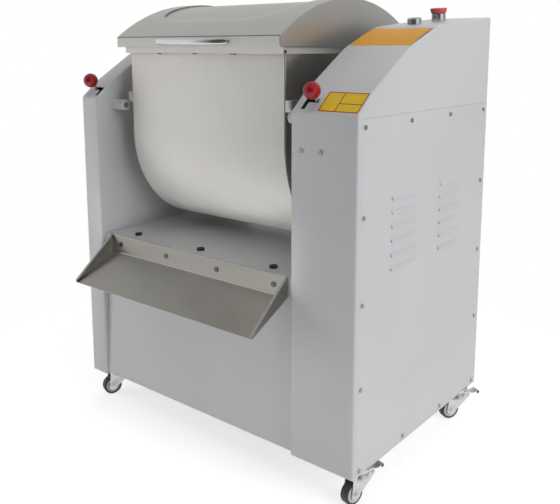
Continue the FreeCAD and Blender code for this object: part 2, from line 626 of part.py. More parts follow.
panel_top = deck_top - d.skin - d.spare
panel_knee = deck_top - d.panel_straight
front_section = loop([
    (d.panel_top_run, panel_top), (d.panel_top_run, panel_knee), (d.panel_foot_run, d.panel_foot_high),
    (panel_face, d.panel_foot_high), (panel_face, d.panel_foot_high + d.skin),
    (d.panel_foot_run + d.skin, d.panel_foot_high + d.skin), (panel_face, panel_knee),
    (panel_face, panel_top)])
front_blank = slab("front_blank", front_section, deck_wide, (deck_x, y_front, z_foot))
node(cut("front_closing", front_blank, tray_holes), "front_panel")

rear_run = d.body_deep - 4 * d.skin
rear_section = loop([(rear_run, d.panel_foot_high), (rear_run + d.skin, d.panel_foot_high),
                     (rear_run + d.skin, deck_top), (rear_run, deck_top)])
node(slab("rear_closing", rear_section, deck_wide, (deck_x, y_front, z_foot)), "rear_panel")

# Discharge tray: a folded sheet with a screwed flange, a sloping floor and two cheeks.
tray_x = x_middle - d.tray_wide / 2
flange_front = d.panel_top_run - d.tray_skin
tray_drop = d.tray_run * math.tan(math.radians(d.tray_angle))
tray_fold = deck_top - d.tray_flange
tray_floor = loop([
    (d.panel_top_run, deck_top + 1), (flange_front, deck_top + 1), (flange_front, tray_fold),
    (flange_front - d.tray_run, tray_fold - tray_drop),
    (flange_front - d.tray_run, tray_fold - tray_drop - d.tray_skin),
    (d.panel_top_run, tray_fold - d.tray_skin)])
cheek_outline = loop([
    (d.panel_top_run, deck_top + 1), (flange_front - 6, deck_top + 1),
    (flange_front - d.tray_run + 4, tray_fold - tray_drop + d.tray_tip),
    (flange_front - d.tray_run, tray_fold - tray_drop + d.tray_tip - 4),
    (flange_front - d.tray_run, tray_fold - tray_drop - d.tray_skin),
    (d.panel_top_run, tray_fold - d.tray_skin)])
folded_floor = slab("tray_floor", tray_floor, "Sizes.tray_wide", (tray_x, y_front, z_foot))
cheeks = [slab(f"tray_cheek_{number}", cheek_outline, "Sizes.tray_skin", (x, y_front, z_foot))
          for number, x in enumerate((tray_x, tray_x + d.tray_wide - d.tray_skin))]
node(cut("tray", join("tray_folded", [folded_floor] + cheeks), tray_holes), "discharge_tray")
node(group("tray_screw_group", [
    button_head_screw(f"tray_screw_{number}", "Sizes.tray_screw_head / 2",
                      "Sizes.screw_long + Sizes.skin / 2", (x, y_front + flange_front, tray_screw_z), TO_FRONT)
    for number, x in enumerate(tray_screw_xs)]), "tray_screws")

# Bowl: a U of sheet between two end plates, with a rim round its mouth.
x_bowl_left = x_left_in + d.bowl_gap
x_bowl_right = x_right_in - d.bowl_gap
bowl_top = d.bowl_top_high - d.axis_high
r_out = d.bowl_radius
r_in = d.bowl_radius - d.bowl_skin


def trough_wire(radius):
    """Outline of a U with its round bottom about the axis."""
    left_top, left_low = V(-radius, bowl_top, 0), V(-radius, 0, 0)
    right_low, right_top = V(radius, 0, 0), V(radius, bowl_top, 0)
    return [Part.LineSegment(left_top, left_low), Part.Arc(left_low, V(0, -radius, 0), right_low),
            Part.LineSegment(right_low, right_top), right_top, left_top]


outer_u = trough_wire(r_out)
inner_u = trough_wire(r_in)
trough_outline = outer_u[:3] + inner_u[:3]
trough_outline.append(Part.LineSegment(outer_u[3], inner_u[3]))
trough_outline.append(Part.LineSegment(inner_u[4], outer_u[4]))
end_outline = outer_u[:3] + [Part.LineSegment(outer_u[3], outer_u[4])]
trough_long = "Sizes.gap_wide - 2 * Sizes.bowl_gap - 2 * Sizes.bowl_end"
node(slab("trough", trough_outline, trough_long, (x_bowl_left + d.bowl_end, y_axis, z_axis)),
     "bowl_trough")

lug_low = lock_z + d.lock_pin / 2 + d.lock_play - z_axis
lug_front = -d.bowl_radius
ends = []
for side, s in sides.items():
    wall_x = x_bowl_left if side == "left" else x_bowl_right - d.bowl_end
    wall = slab(f"{side}_end_wall", end_outline + ring(0, 0, d.trunnion_bore / 2 + 1), "Sizes.bowl_end",
                (wall_x, y_axis, z_axis))
    lug_x = x_bowl_left - d.lug_thick if side == "left" else x_bowl_right
    lug = box(f"{side}_lug", "Sizes.lug_thick", "Sizes.lug_deep", "Sizes.lug_tall",
              (lug_x, y_axis + lug_front, z_axis + lug_low))
    ends += [wall, lug]
node(group("bowl_end_group", ends), "bowl_ends")

rim_low = d.bowl_top_high - d.rim_tall
rim_side_x = d.rim_side
rim_outer = box("rim_outer", "Sizes.gap_wide - 2 * Sizes.bowl_gap + 2 * Sizes.rim_side",
                "2 * Sizes.bowl_radius + 2 * Sizes.rim_out", "Sizes.rim_tall",
                (x_bowl_left - d.rim_side, y_axis - r_out - d.rim_out, z_foot + rim_low))
rim_inner = box("rim_inner", "Sizes.gap_wide - 2 * Sizes.bowl_gap", "2 * Sizes.bowl_radius",
                "Sizes.rim_tall * 2", (x_bowl_left, y_axis - r_out, z_foot + rim_low - d.rim_tall / 2))
under_low = z_foot + rim_low - d.bowl_skin
rim_under = box("rim_under", "Sizes.gap_wide - 2 * Sizes.bowl_gap + 2 * Sizes.rim_side - 2 * Sizes.bowl_skin",
                "2 * Sizes.bowl_radius + 2 * Sizes.rim_out - 2 * Sizes.bowl_skin", "Sizes.rim_tall",
                (x_bowl_left - d.rim_side + d.bowl_skin, y_axis - r_out - d.rim_out + d.bowl_skin, under_low))
node(cut("rim", rim_outer, [rim_inner, rim_under]), "bowl_rim")

# Trunnions, bearings, bushes and seals round the one axis of bowl and agitator.
trunnions = []
bushes = []
inner_bushes = []
seals = []
housings = []
for side, s in sides.items():
    bowl_x = x_bowl_left if side == "left" else x_bowl_right
    out_long = "Sizes.bowl_gap + Sizes.plate + Sizes.housing_long + 2"
    flange = cylinder(f"{side}_trunnion_flange", "Sizes.trunnion_flange / 2", "Sizes.flange_thick",
                      (bowl_x, y_axis, z_axis), s.away)
    tube = cylinder(f"{side}_trunnion_tube", "Sizes.trunnion_out / 2", out_long, (bowl_x, y_axis, z_axis), s.away)
    bore = cylinder(f"{side}_trunnion_bore", "Sizes.trunnion_bore / 2", "Sizes.bowl_gap * 3",
                    (bowl_x - (-s.inward) * d.bowl_gap, y_axis, z_axis), s.away)
    trunnions.append(cut(f"{side}_trunnion", join(f"{side}_trunnion_blank", [flange, tube]), [bore]))
    hub_blank = join(f"{side}_housing_blank", [
        cylinder(f"{side}_housing_flange", "Sizes.housing_flange / 2", "Sizes.flange_thick",
                 (s.back, y_axis, z_axis), s.away),
        cylinder(f"{side}_housing_hub", "Sizes.housing_hub / 2", "Sizes.housing_long",
                 (s.back, y_axis, z_axis), s.away)])
    hub_bore = cylinder(f"{side}_housing_bore", "Sizes.bush_out / 2 + Sizes.fit / 2", "Sizes.housing_long * 3",
                        (s.back + s.inward * d.housing_long, y_axis, z_axis), s.away)
    housings.append(cut(f"{side}_housing", hub_blank, [hub_bore]))
    bush = cylinder(f"{side}_bush_blank", "Sizes.bush_out / 2", "Sizes.housing_long",
                    (s.back, y_axis, z_axis), s.away)
    bush_bore = cylinder(f"{side}_bush_bore", "Sizes.trunnion_out / 2 + Sizes.fit", "Sizes.housing_long * 3",
                         (s.back + s.inward * d.housing_long, y_axis, z_axis), s.away)
    bushes.append(cut(f"{side}_bush", bush, [bush_bore]))
    sleeve = cylinder(f"{side}_sleeve_blank", "Sizes.trunnion_bore / 2 - Sizes.fit / 2", out_long,
                      (bowl_x, y_axis, z_axis), s.away)
    sleeve_bore = cylinder(f"{side}_sleeve_bore", "Sizes.shaft_wide / 2 + Sizes.fit", "Sizes.bowl_gap * 3",
                           (bowl_x + s.inward * d.bowl_gap, y_axis, z_axis), s.away)
    inner_bushes.append(cut(f"{side}_sleeve", sleeve, [sleeve_bore]))
    seal_x = bowl_x + s.inward * (d.bowl_end + d.seal_thick + d.spare)
    seal = cylinder(f"{side}_seal_blank", "Sizes.seal_out / 2", "Sizes.seal_thick", (seal_x, y_axis, z_axis), s.away)
    seal_bore = cylinder(f"{side}_seal_bore", "Sizes.shaft_wide / 2 + Sizes.fit", "Sizes.seal_thick * 3",
                         (seal_x + s.inward * d.seal_thick, y_axis, z_axis), s.away)
    seals.append(cut(f"{side}_seal", seal, [seal_bore]))
node(group("trunnion_group", trunnions), "bowl_trunnions")
node(group("trunnion_bush_group", bushes), "trunnion_bushes")
node(group("shaft_bush_group", inner_bushes), "shaft_bushes")
node(group("shaft_seal_group", seals), "shaft_seals")

z_counter = z_foot + counter_high
counter_blank = join("counter_housing_blank", [
    cylinder("counter_housing_flange", "Sizes.counter_flange / 2", "Sizes.flange_thick",
             (x_right_in + d.plate, y_axis, z_counter), TO_RIGHT),
    cylinder("counter_housing_hub", "Sizes.counter_hub / 2", "Sizes.housing_long",
             (x_right_in + d.plate, y_axis, z_counter), TO_RIGHT)])
counter_bore = cylinder("counter_housing_bore", "Sizes.counter_shaft / 2 + Sizes.fit", "Sizes.housing_long * 3",
                        (x_right_in - d.housing_long, y_axis, z_counter), TO_RIGHT)
housings.append(cut("counter_housing", counter_blank, [counter_bore]))
node(group("housing_group", housings), "bearing_housings")

# Agitator: a shaft through the bowl with two three-armed hubs that carry round bars.
shaft_left = x_left_in - d.plate - d.housing_long - 8
shaft_right = x_right_in + d.gear_off + d.gear_wide + 6
shaft_rule = ("Sizes.gap_wide + Sizes.plate + Sizes.housing_long + 8"
              " + Sizes.gear_off + Sizes.gear_wide + 6")
node(cylinder("shaft", "Sizes.shaft_wide / 2", shaft_rule, (shaft_left, y_axis, z_axis), TO_RIGHT),
     "agitator_shaft")

wing_angles = [-90, 30, 150]
wing_rule = "Sizes.bowl_radius - Sizes.bowl_skin - Sizes.wing_gap - Sizes.wing_bar / 2"
wing_spots = [(d.wing_reach * math.cos(math.radians(a)), d.wing_reach * math.sin(math.radians(a)))
              for a in wing_angles]
arm_left = x_bowl_left + d.bowl_end + d.wing_side
arm_right = x_bowl_right - d.bowl_end - d.wing_side - d.wing_arm_thick
welds = []
for end, x in (("left", arm_left), ("right", arm_right)):
    welds.append(cylinder(f"wing_hub_{end}", "Sizes.wing_hub / 2", "Sizes.wing_arm_thick",
                          (x, y_axis, z_axis), TO_RIGHT))
    for number, angle in enumerate(wing_angles):
        turn = FreeCAD.Rotation(V(1, 0, 0), angle)
        corner = V(x, y_axis, z_axis) + turn.multVec(V(0, 0, -d.wing_arm_wide / 2))
        welds.append(box(f"wing_arm_{end}_{number}", "Sizes.wing_arm_thick", wing_rule,
                         "Sizes.wing_arm_wide", corner, turn))
bar_rule = ("Sizes.gap_wide - 2 * Sizes.bowl_gap - 2 * Sizes.bowl_end - 2 * Sizes.wing_side")
for number, (u, v) in enumerate(wing_spots):
    welds.append(cylinder(f"wing_bar_{number}", "Sizes.wing_bar / 2", bar_rule,
                          (arm_left, y_axis + u, z_axis + v), TO_RIGHT))
hub_bore = cylinder("wing_hub_bore", "Sizes.shaft_wide / 2 + Sizes.fit / 2", "Sizes.gap_wide",
                    (x_left_in, y_axis, z_axis), TO_RIGHT)
node(cut("wings", join("wings_welded", welds), [hub_bore]), "agitator_wings")

# Spur gears. Each tooth flank is one arc through three points of its involute.
PRESSURE_ANGLE = math.radians(20)


def gear_wire(teeth, turn):
    """Outline of a spur gear with a tooth centred on the angle turn."""
    pitch = d.gear_module * teeth / 2
    base = pitch * math.cos(PRESSURE_ANGLE)
    tip = pitch + d.gear_module
    root = pitch - 1.25 * d.gear_module
    start = max(base, root)
    half_tooth = math.pi / (2 * teeth) - d.backlash / (4 * pitch)
    spread = math.tan(PRESSURE_ANGLE) - PRESSURE_ANGLE

    def flank(radius):
        """Half the tooth's angle at a radius."""
        reach = math.acos(min(1, base / radius))
        return half_tooth + spread - (math.tan(reach) - reach)

    def spot(radius, angle):
        return V(radius * math.cos(angle), radius * math.sin(angle), 0)

    middle = (start + tip) / 2
    edges = []
    for tooth in range(teeth):
        centre = turn + tooth * 2 * math.pi / teeth
        following = turn + (tooth + 1) * 2 * math.pi / teeth
        low = [spot(r, centre - flank(r)) for r in (start, middle, tip)]
        high = [spot(r, centre + flank(r)) for r in (tip, middle, start)]
        foot = spot(root, centre - flank(start))
        back_foot = spot(root, centre + flank(start))
        if root < start - 1e-6:
            edges.append(Part.LineSegment(foot, low[0]))
        edges.append(Part.Arc(*low))
        edges.append(Part.Arc(low[2], spot(tip, centre), high[0]))
        edges.append(Part.Arc(*high))
        if root < start - 1e-6:
            edges.append(Part.LineSegment(high[2], back_foot))
        root_middle = spot(root if root < start - 1e-6 else start, (centre + following) / 2)
        edges.append(Part.Arc(back_foot if root < start - 1e-6 else high[2], root_middle,
                              spot(min(root, start) if root < start - 1e-6 else start,
                                   following - flank(start))))
    return Part.Wire([edge.toShape() for edge in edges])


def gear_solid(teeth, turn, wide, bore):
    """A spur gear along Z with a round bore."""
    face = Part.Face(gear_wire(teeth, turn))
    return face.extrude(V(0, 0, wide)).cut(Part.makeCylinder(bore, wide * 3, V(0, 0, -wide)))


# In the side view the pinion lies straight under the gear.
# A gap of the gear faces down and a tooth of the pinion faces up.
gear_turn = -math.pi / 2 + math.pi / d.gear_teeth
driven = doc.addObject("Part::Feature", "driven_gear_cut")
driven.Shape = gear_solid(int(d.gear_teeth), gear_turn, d.gear_wide, d.shaft_wide / 2 + d.fit / 2)
driven.Placement = FreeCAD.Placement(V(x_right_in + d.gear_off, y_axis, z_axis), SIDE_ON)
node(driven, "driven_gear")

pinion = doc.addObject("Part::Feature", "pinion_cut")
pinion.Shape = gear_solid(int(d.pinion_teeth), math.pi / 2, d.pinion_wide, d.counter_shaft / 2 - 1)
pinion_x = x_right_in + d.gear_off + (d.gear_wide - d.pinion_wide) / 2
pinion.Placement = FreeCAD.Placement(V(pinion_x, y_axis, z_counter), SIDE_ON)
counter_rule = "Sizes.gear_off + Sizes.gear_wide + 8"
counter_bar = cylinder("counter_bar", "Sizes.counter_shaft / 2", counter_rule,
                       (x_right_in, y_axis, z_counter), TO_RIGHT)
node(join("counter_welded", [counter_bar, pinion]), "pinion_shaft")


def pulley(name, core_rule, bore_rule, x, z):
    """A flat pulley with a flange on each side of its belt."""
    wide = "Sizes.belt_wide + 2 * Sizes.spare"
    core = cylinder(name + "_core", core_rule, wide, (x + d.pulley_flange, y_axis, z), TO_RIGHT)
    discs = [cylinder(f"{name}_flange_{number}", core_rule + " + Sizes.belt_thick * 1.3",
                      "Sizes.pulley_flange", (place, y_axis, z), TO_RIGHT)
             for number, place in enumerate((x, x + d.pulley_flange + d.belt_wide + 2 * d.spare))]
    blank = join(name + "_blank", [core] + discs)
    if not bore_rule:
        return blank
    return cut(name, blank, [cylinder(name + "_bore", bore_rule, "Sizes.belt_wide * 3",
                                      (x - d.belt_wide, y_axis, z), TO_RIGHT)])


pulley_x = x_right_in + d.pulley_off
z_motor = z_foot + motor_high
big = pulley("counter_wheel", "Sizes.big_pulley / 2", "Sizes.counter_shaft / 2 + Sizes.fit / 2",
             pulley_x, z_counter)
lightening = []
for number in range(5):
    angle = math.radians(90 + 72 * number)
    reach = d.big_pulley * 0.31
    lightening.append(cylinder(f"pulley_hole_{number}", "Sizes.big_pulley * 0.09", "Sizes.belt_wide * 3",
                               (pulley_x - d.belt_wide, y_axis + reach * math.cos(angle),
                                z_counter + reach * math.sin(angle)), TO_RIGHT))
node(cut("counter_wheel_spoked", big, lightening), "counter_pulley")

motor_end = x_right_in - d.motor_off
small = pulley("motor_wheel", "Sizes.small_pulley / 2", None, pulley_x, z_motor)
shaft_stub = cylinder("motor_stub", "Sizes.motor_shaft / 2",
                      "Sizes.motor_off + Sizes.pulley_off + Sizes.belt_wide + Sizes.motor_shaft",
                      (motor_end - d.motor_shaft, y_axis, z_motor), TO_RIGHT)
node(join("motor_wheel_keyed", [small, shaft_stub]), "motor_pulley")


def belt_wire(grow):
    """Loop round both pulleys, grown by a thickness, in depth and height from the lower one."""
    low, high = d.small_pulley / 2 + grow, d.big_pulley / 2 + grow
    distance = counter_high - motor_high
    lean = math.asin((high - low) / distance)
    right = V(math.cos(lean), -math.sin(lean), 0)
    left = V(-right.x, right.y, 0)
    top = V(0, distance, 0)
    return [Part.Arc(left * low, V(0, -low, 0), right * low), Part.LineSegment(right * low, top + right * high),
            Part.Arc(top + right * high, top + V(0, high, 0), top + left * high),
            Part.LineSegment(top + left * high, left * low)]


belt_outline = belt_wire(d.fit + d.belt_thick) + belt_wire(d.fit)
node(slab("belt", belt_outline, "Sizes.belt_wide",
          (pulley_x + d.pulley_flange + d.spare, y_axis, z_motor)), "drive_belt")

# Motor on its feet, with a terminal box and cooling fins.
motor_x = motor_end - d.motor_long
barrel = cylinder("motor_barrel", "Sizes.motor_wide / 2 - 8", "Sizes.motor_long", (motor_x, y_axis, z_motor),
                  TO_RIGHT)
fins = []
for number in range(24):
    turn = FreeCAD.Rotation(V(1, 0, 0), 15 * number + 7.5)
    corner = V(motor_x + d.fin_run, y_axis, z_motor) + turn.multVec(V(0, d.motor_wide / 2 - 12, -1.5))
    fins.append(box(f"motor_fin_{number}", "Sizes.motor_long - 2 * Sizes.fin_run", "12", "3", corner, turn))
feet = box("motor_feet", "Sizes.motor_long / 2", "Sizes.motor_wide", "12",
           (motor_x + d.motor_long / 4, y_axis - d.motor_wide / 2, z_motor - d.motor_foot_high + d.spare))
leg = box("motor_leg", "Sizes.motor_long / 2", "Sizes.motor_wide / 2", "Sizes.motor_foot_high",
          (motor_x + d.motor_long / 4, y_axis - d.motor_wide / 4, z_motor - d.motor_foot_high + d.spare))
terminals = box("motor_terminals", "Sizes.terminal_long", "Sizes.terminal_wide", "Sizes.motor_wide / 2 + 28",
                (motor_end - d.terminal_run - d.terminal_long, y_axis - d.terminal_wide / 2, z_motor))
motor_bore = cylinder("motor_bore", "Sizes.motor_shaft / 2 + Sizes.fit", "Sizes.motor_shaft * 2",
                      (motor_end - d.motor_shaft - d.spare, y_axis, z_motor), TO_RIGHT)
node(cut("motor_cast", join("motor_whole", [barrel, feet, leg, terminals] + fins), [motor_bore]), "motor")

box_x = x_right_in + d.plate
control = box("control_case", "Sizes.box_wide", "Sizes.box_deep", "Sizes.box_tall",
              (box_x, y_rear - d.skin - 12 - d.box_deep, z_foot + d.box_high))
control_lid = box("control_lid", "6", "Sizes.box_deep + 4", "Sizes.box_tall + 4",
                  (box_x + d.box_wide, y_rear - d.skin - 14 - d.box_deep, z_foot + d.box_high - 2))
node(join("control_box", [control, control_lid]), "contactor_box")

gland_radius = d.gland_thread / 2
gland_section = [
    (d.gland_bore / 2, -14), (gland_radius, -14), (gland_radius, 0), (d.gland_wide / 2, 0),
    (d.gland_wide / 2, 7), (gland_radius + 2, 9), (gland_radius + 2, d.gland_out - 4),
    (gland_radius - 1, d.gland_out), (d.gland_bore / 2, d.gland_out)]
node(turned_body("gland", gland_section, (gland_x, y_rear, z_foot + d.gland_high), TO_BACK), "cable_gland")

# Bar with two rubber buffers that the upright bowl leans against.
bowl_back = y_axis + r_out
bar_y = y_rear - d.skin - d.stop_bar
node(box("stop_bar", "Sizes.gap_wide - 2 * Sizes.spare", "Sizes.stop_bar", "Sizes.stop_tall",
         (x_left_in + d.spare, bar_y, z_foot + d.stop_high - d.stop_tall / 2)), "stop_bar")
buffer_long = bar_y - bowl_back - d.spare
node(group("buffer_group", [
    cylinder(f"buffer_{number}", "Sizes.stop_buffer / 2", f"{buffer_long}",
             (x_middle + off * d.hinge_off, bowl_back + d.spare, z_foot + d.stop_high), TO_BACK)
    for number, off in enumerate((-1, 1))]), "stop_buffers")

# Lid: a curved sheet with a skirt, a pressed panel on top and a flange that lies on the rim.
lid_front = -r_out - d.rim_out - d.lid_front_over
lid_back = r_out + d.rim_out + d.lid_back_over
lid_low = d.bowl_top_high + d.spare
lid_left = x_bowl_left - d.lid_side_over
lid_rule = "Sizes.gap_wide - 2 * Sizes.bowl_gap + 2 * Sizes.lid_side_over"


def lid_wire(inset, low, lift=0):
    """Side outline of the lid from the axis, moved in by inset and cut off at a height."""
    front, back = lid_front + inset, lid_back - inset
    eave = low + d.lid_skirt
    top = V((front + back) / 2, lid_low - d.axis_high + d.lid_skirt + d.lid_crown - inset + lift, 0)
    rise = lid_low - d.axis_high + d.lid_skirt - inset * 0.6 + lift
    a, b = V(front, low, 0), V(back, low, 0)
    return [Part.LineSegment(a, b), Part.LineSegment(b, V(back, rise, 0)),
            Part.Arc(V(back, rise, 0), top, V(front, rise, 0)),
            Part.LineSegment(V(front, rise, 0), a)]


lid_foot = lid_low - d.axis_high
lid_block = slab("lid_block", lid_wire(0, lid_foot), lid_rule, (lid_left, y_axis, z_axis))
lid_room = slab("lid_room", lid_wire(d.lid_skin, lid_foot + d.lid_skin), lid_rule + " - 2 * Sizes.lid_skin",
                (lid_left + d.lid_skin, y_axis, z_axis))
mouth_in = d.rim_out
mouth = box("lid_mouth", lid_rule + " - 2 * Sizes.lid_side_over - 2 * Sizes.bowl_end",
            "2 * Sizes.bowl_radius - 2 * Sizes.bowl_end", "Sizes.lid_skirt",
            (x_bowl_left + d.bowl_end, y_axis - r_out + d.bowl_end, z_foot + lid_low - d.lid_skirt / 2))
panel_wide = d.gap_wide - 2 * d.bowl_gap + 2 * d.lid_side_over - 2 * d.lid_panel_in
panel_deep = lid_back - lid_front - 2 * d.lid_panel_in
raised = slab("lid_raised", lid_wire(d.lid_panel_in / 4, lid_foot + d.lid_skirt, d.lid_panel_out + d.lid_panel_in / 4),
              lid_rule, (lid_left, y_axis, z_axis))
corner = d.lid_panel_corner
panel_face_sheet = Part.makePlane(panel_wide, panel_deep)
panel_prism = doc.addObject("Part::Box", "lid_panel_prism")
panel_prism.Length = panel_wide
panel_prism.Width = panel_deep
panel_prism.setExpression("Height", "Sizes.lid_crown * 3")
panel_prism.Placement = FreeCAD.Placement(
    V(lid_left + d.lid_panel_in, y_axis + lid_front + d.lid_panel_in, z_foot + lid_low), UPRIGHT)
doc.recompute()
upright_edges = [number for number, edge in enumerate(panel_prism.Shape.Edges, 1)
                 if abs(edge.tangentAt(edge.FirstParameter).z) > 0.9]
panel_round = doc.addObject("Part::Fillet", "lid_panel_round")
panel_round.Base = panel_prism
panel_round.Edges = [(number, corner, corner) for number in upright_edges]
pressed = doc.addObject("Part::Common", "lid_pressed")
pressed.Base = raised
pressed.Tool = panel_round
lid_pressed = cut("lid_pressed_sheet", join("lid_whole", [lid_block, pressed]), [lid_room, mouth])

# Lid handle: a bow of bar, tapered towards its ends.
skirt_y = y_axis + lid_front
handle_z = z_foot + lid_low + d.lid_skirt / 2 - 1
half_wide = d.handle_wide / 2
outer_bow = Part.Arc(V(-half_wide, 0, 0), V(0, -d.handle_out, 0), V(half_wide, 0, 0))
inner_half = half_wide - 2 * d.handle_thick
inner_bow = Part.Arc(V(-inner_half, 0, 0), V(0, -d.handle_out + d.handle_thick, 0), V(inner_half, 0, 0))
bow_outline = [outer_bow, inner_bow, Part.LineSegment(V(-half_wide, 0, 0), V(-inner_half, 0, 0)),
               Part.LineSegment(V(inner_half, 0, 0), V(half_wide, 0, 0))]
bow_bar = slab("handle_bow", bow_outline, "Sizes.handle_tall",
               (x_middle, skirt_y, handle_z - d.handle_tall / 2), UPRIGHT)
end_half = d.handle_end / 2
tall_half = d.handle_tall / 2
lens = [Part.Arc(V(-half_wide, -end_half, 0), V(0, -tall_half, 0), V(half_wide, -end_half, 0)),
        Part.LineSegment(V(half_wide, -end_half, 0), V(half_wide, end_half, 0)),
        Part.Arc(V(half_wide, end_half, 0), V(0, tall_half, 0), V(-half_wide, end_half, 0)),
        Part.LineSegment(V(-half_wide, end_half, 0), V(-half_wide, -end_half, 0))]
lens_block = slab("handle_lens", lens, "Sizes.handle_out * 2", (x_middle, skirt_y, handle_z), FACE_ON)
handle = doc.addObject("Part::Common", "handle")
handle.Base = bow_bar
handle.Tool = lens_block
node(handle, "lid_handle")

# Lid hinges at the back: brackets on the rim, leaves on the lid and one pin through each pair.
pin_y = y_axis + lid_back + d.hinge_knuckle / 2 + 1
pin_z = z_foot + lid_low + d.hinge_knuckle / 2 - 2
third_wide = d.hinge_wide / 3
brackets = []
leaves = []
pins = []
for number, off in enumerate((-1, 1)):
    start = x_middle + off * d.hinge_off - d.hinge_wide / 2
    for part, first in enumerate((start, start + 2 * third_wide)):
        eye = cylinder(f"bracket_eye_{number}_{part}", "Sizes.hinge_knuckle / 2", "Sizes.hinge_wide / 3",
                       (first, pin_y, pin_z), TO_RIGHT)
        rim_y = y_axis + r_out + d.rim_out
        reach = pin_y - rim_y
        arm_low = z_foot + d.bowl_top_high - d.rim_tall + 2
        arm = box(f"bracket_arm_{number}_{part}", "Sizes.hinge_wide / 3", f"{reach + 3}", "8",
                  (first, rim_y, arm_low))
        post = box(f"bracket_post_{number}_{part}", "Sizes.hinge_wide / 3", "6", f"{pin_z - arm_low}",
                   (first, pin_y - 3, arm_low))
        hole = cylinder(f"bracket_hole_{number}_{part}", "Sizes.hinge_pin / 2 + Sizes.fit / 2",
                        "Sizes.hinge_wide", (first - third_wide, pin_y, pin_z), TO_RIGHT)
        brackets.append(cut(f"bracket_{number}_{part}",
                            join(f"bracket_blank_{number}_{part}", [eye, arm, post]), [hole]))
    leaf_x = start + third_wide + d.spare
    leaf_eye = cylinder(f"leaf_eye_{number}", "Sizes.hinge_knuckle / 2", "Sizes.hinge_wide / 3 - 2 * Sizes.spare",
                        (leaf_x, pin_y, pin_z), TO_RIGHT)
    leaf_y = y_axis + lid_back
    leaf_plate = box(f"leaf_plate_{number}", "Sizes.hinge_wide / 3 - 2 * Sizes.spare",
                     "Sizes.hinge_knuckle / 2 + 1", "5", (leaf_x, leaf_y, pin_z + 2))
    leaf_hole = cylinder(f"leaf_hole_{number}", "Sizes.hinge_pin / 2 + Sizes.fit", "Sizes.hinge_wide",
                         (leaf_x - third_wide, pin_y, pin_z), TO_RIGHT)
    leaves.append(cut(f"leaf_{number}", join(f"leaf_blank_{number}", [leaf_eye, leaf_plate]), [leaf_hole]))
    pins.append(cylinder(f"hinge_pin_{number}", "Sizes.hinge_pin / 2", "Sizes.hinge_wide",
                         (start, pin_y, pin_z), TO_RIGHT))
node(group("bracket_group", brackets), "lid_hinge_brackets")
node(group("pin_group", pins), "lid_hinge_pins")
node(join("lid", [lid_pressed] + leaves), "lid_shell")

# Bowl locks: a pin in a guide on each pedestal, slid by a lever through the sloping top.
guides = []
for side, s in sides.items():
    guide = cylinder(f"{side}_guide_blank", "Sizes.lock_guide / 2", "Sizes.lock_guide_out + Sizes.plate",
                     (s.back, lock_y, lock_z), s.towards)
    guide_bore = cylinder(f"{side}_guide_bore", "Sizes.lock_pin / 2 + Sizes.fit", "Sizes.lock_guide_out * 3",
                          (s.back - s.inward * d.lock_guide_out, lock_y, lock_z), s.towards)
    guides.append(cut(f"{side}_guide", guide, [guide_bore]))
node(group("guide_group", guides), "lock_guides")
for side, s in sides.items():
    off_name = f"lock_{side}_off"
    tail = 6
    rod_start = s.lever_x - s.inward * tail
    rod_rule = (f"Sizes.{off_name} + {tail} + Sizes.lock_guide_out + Sizes.lock_reach - Sizes.lock_stroke")
    rod = cylinder(f"{side}_rod", "Sizes.lock_pin / 2", rod_rule, (rod_start, lock_y, lock_z), s.towards)
    lever = cylinder(f"{side}_lever", "Sizes.lever_wide / 2", f"{lever_depth} + Sizes.lever_out",
                     (s.lever_x, lock_y, lock_z), ON_SLOPE)
    node(join(f"{side}_lock_welded", [rod, lever]), f"{side}_lock_pin")
    reach = d.knob_wide / 2
    flat = math.sqrt(reach ** 2 - (d.lever_wide) ** 2)
    ball_section = [
        Part.LineSegment(V(d.lever_wide / 2 + d.fit, -flat, 0), V(d.lever_wide, -flat, 0)),
        Part.Arc(V(d.lever_wide, -flat, 0), V(reach, 0, 0), V(0, reach, 0)),
        Part.LineSegment(V(0, reach, 0), V(0, d.fit, 0)),
        Part.LineSegment(V(0, d.fit, 0), V(d.lever_wide / 2 + d.fit, d.fit, 0)),
        Part.LineSegment(V(d.lever_wide / 2 + d.fit, d.fit, 0), V(d.lever_wide / 2 + d.fit, -flat, 0))]
    ball_place = V(s.lever_x, lock_y, lock_z) + slope_up * (lever_depth + d.lever_out)
    node(turned_body(f"{side}_ball", ball_section, ball_place, ON_SLOPE), f"{side}_lock_knob")

# Buttons on the right pedestal: a flush start button in a bezel and a mushroom stop button.
hole = d.button_hole / 2
cap = d.start_wide / 2 - 2
bezel_section = [
    (cap + d.fit * 6, -d.button_body), (hole, -d.button_body), (hole, 0), (d.bezel_wide / 2, 0),
    (d.bezel_wide / 2, d.bezel_high - 3), (d.bezel_wide / 2 - 2, d.bezel_high), (cap + d.fit * 6, d.bezel_high)]
node(turned_body("bezel", bezel_section, top_place(d.start_run), ON_TOP), "start_bezel")
start_section = [(0, -8), (cap, -8), (cap, d.bezel_high - 1), (cap - 1, d.bezel_high), (0, d.bezel_high)]
node(turned_body("start_cap", start_section, top_place(d.start_run), ON_TOP), "start_button")
stem = d.start_wide / 2 - 3
collar_section = [
    (stem + d.fit * 6, -d.button_body), (hole, -d.button_body), (hole, 0), (d.estop_collar / 2, 0),
    (d.estop_collar / 2, d.estop_collar_high - 2), (d.estop_collar / 2 - 1.5, d.estop_collar_high),
    (stem + d.fit * 6, d.estop_collar_high)]
node(turned_body("collar", collar_section, top_place(d.estop_run), ON_TOP), "estop_collar")
head_low = d.estop_collar_high - d.estop_play
head_roof = d.estop_collar_high + d.estop_travel + d.estop_play
head_room = d.estop_collar / 2 + d.estop_play
head_top = head_low + d.estop_head_high
head_half = d.estop_wide / 2
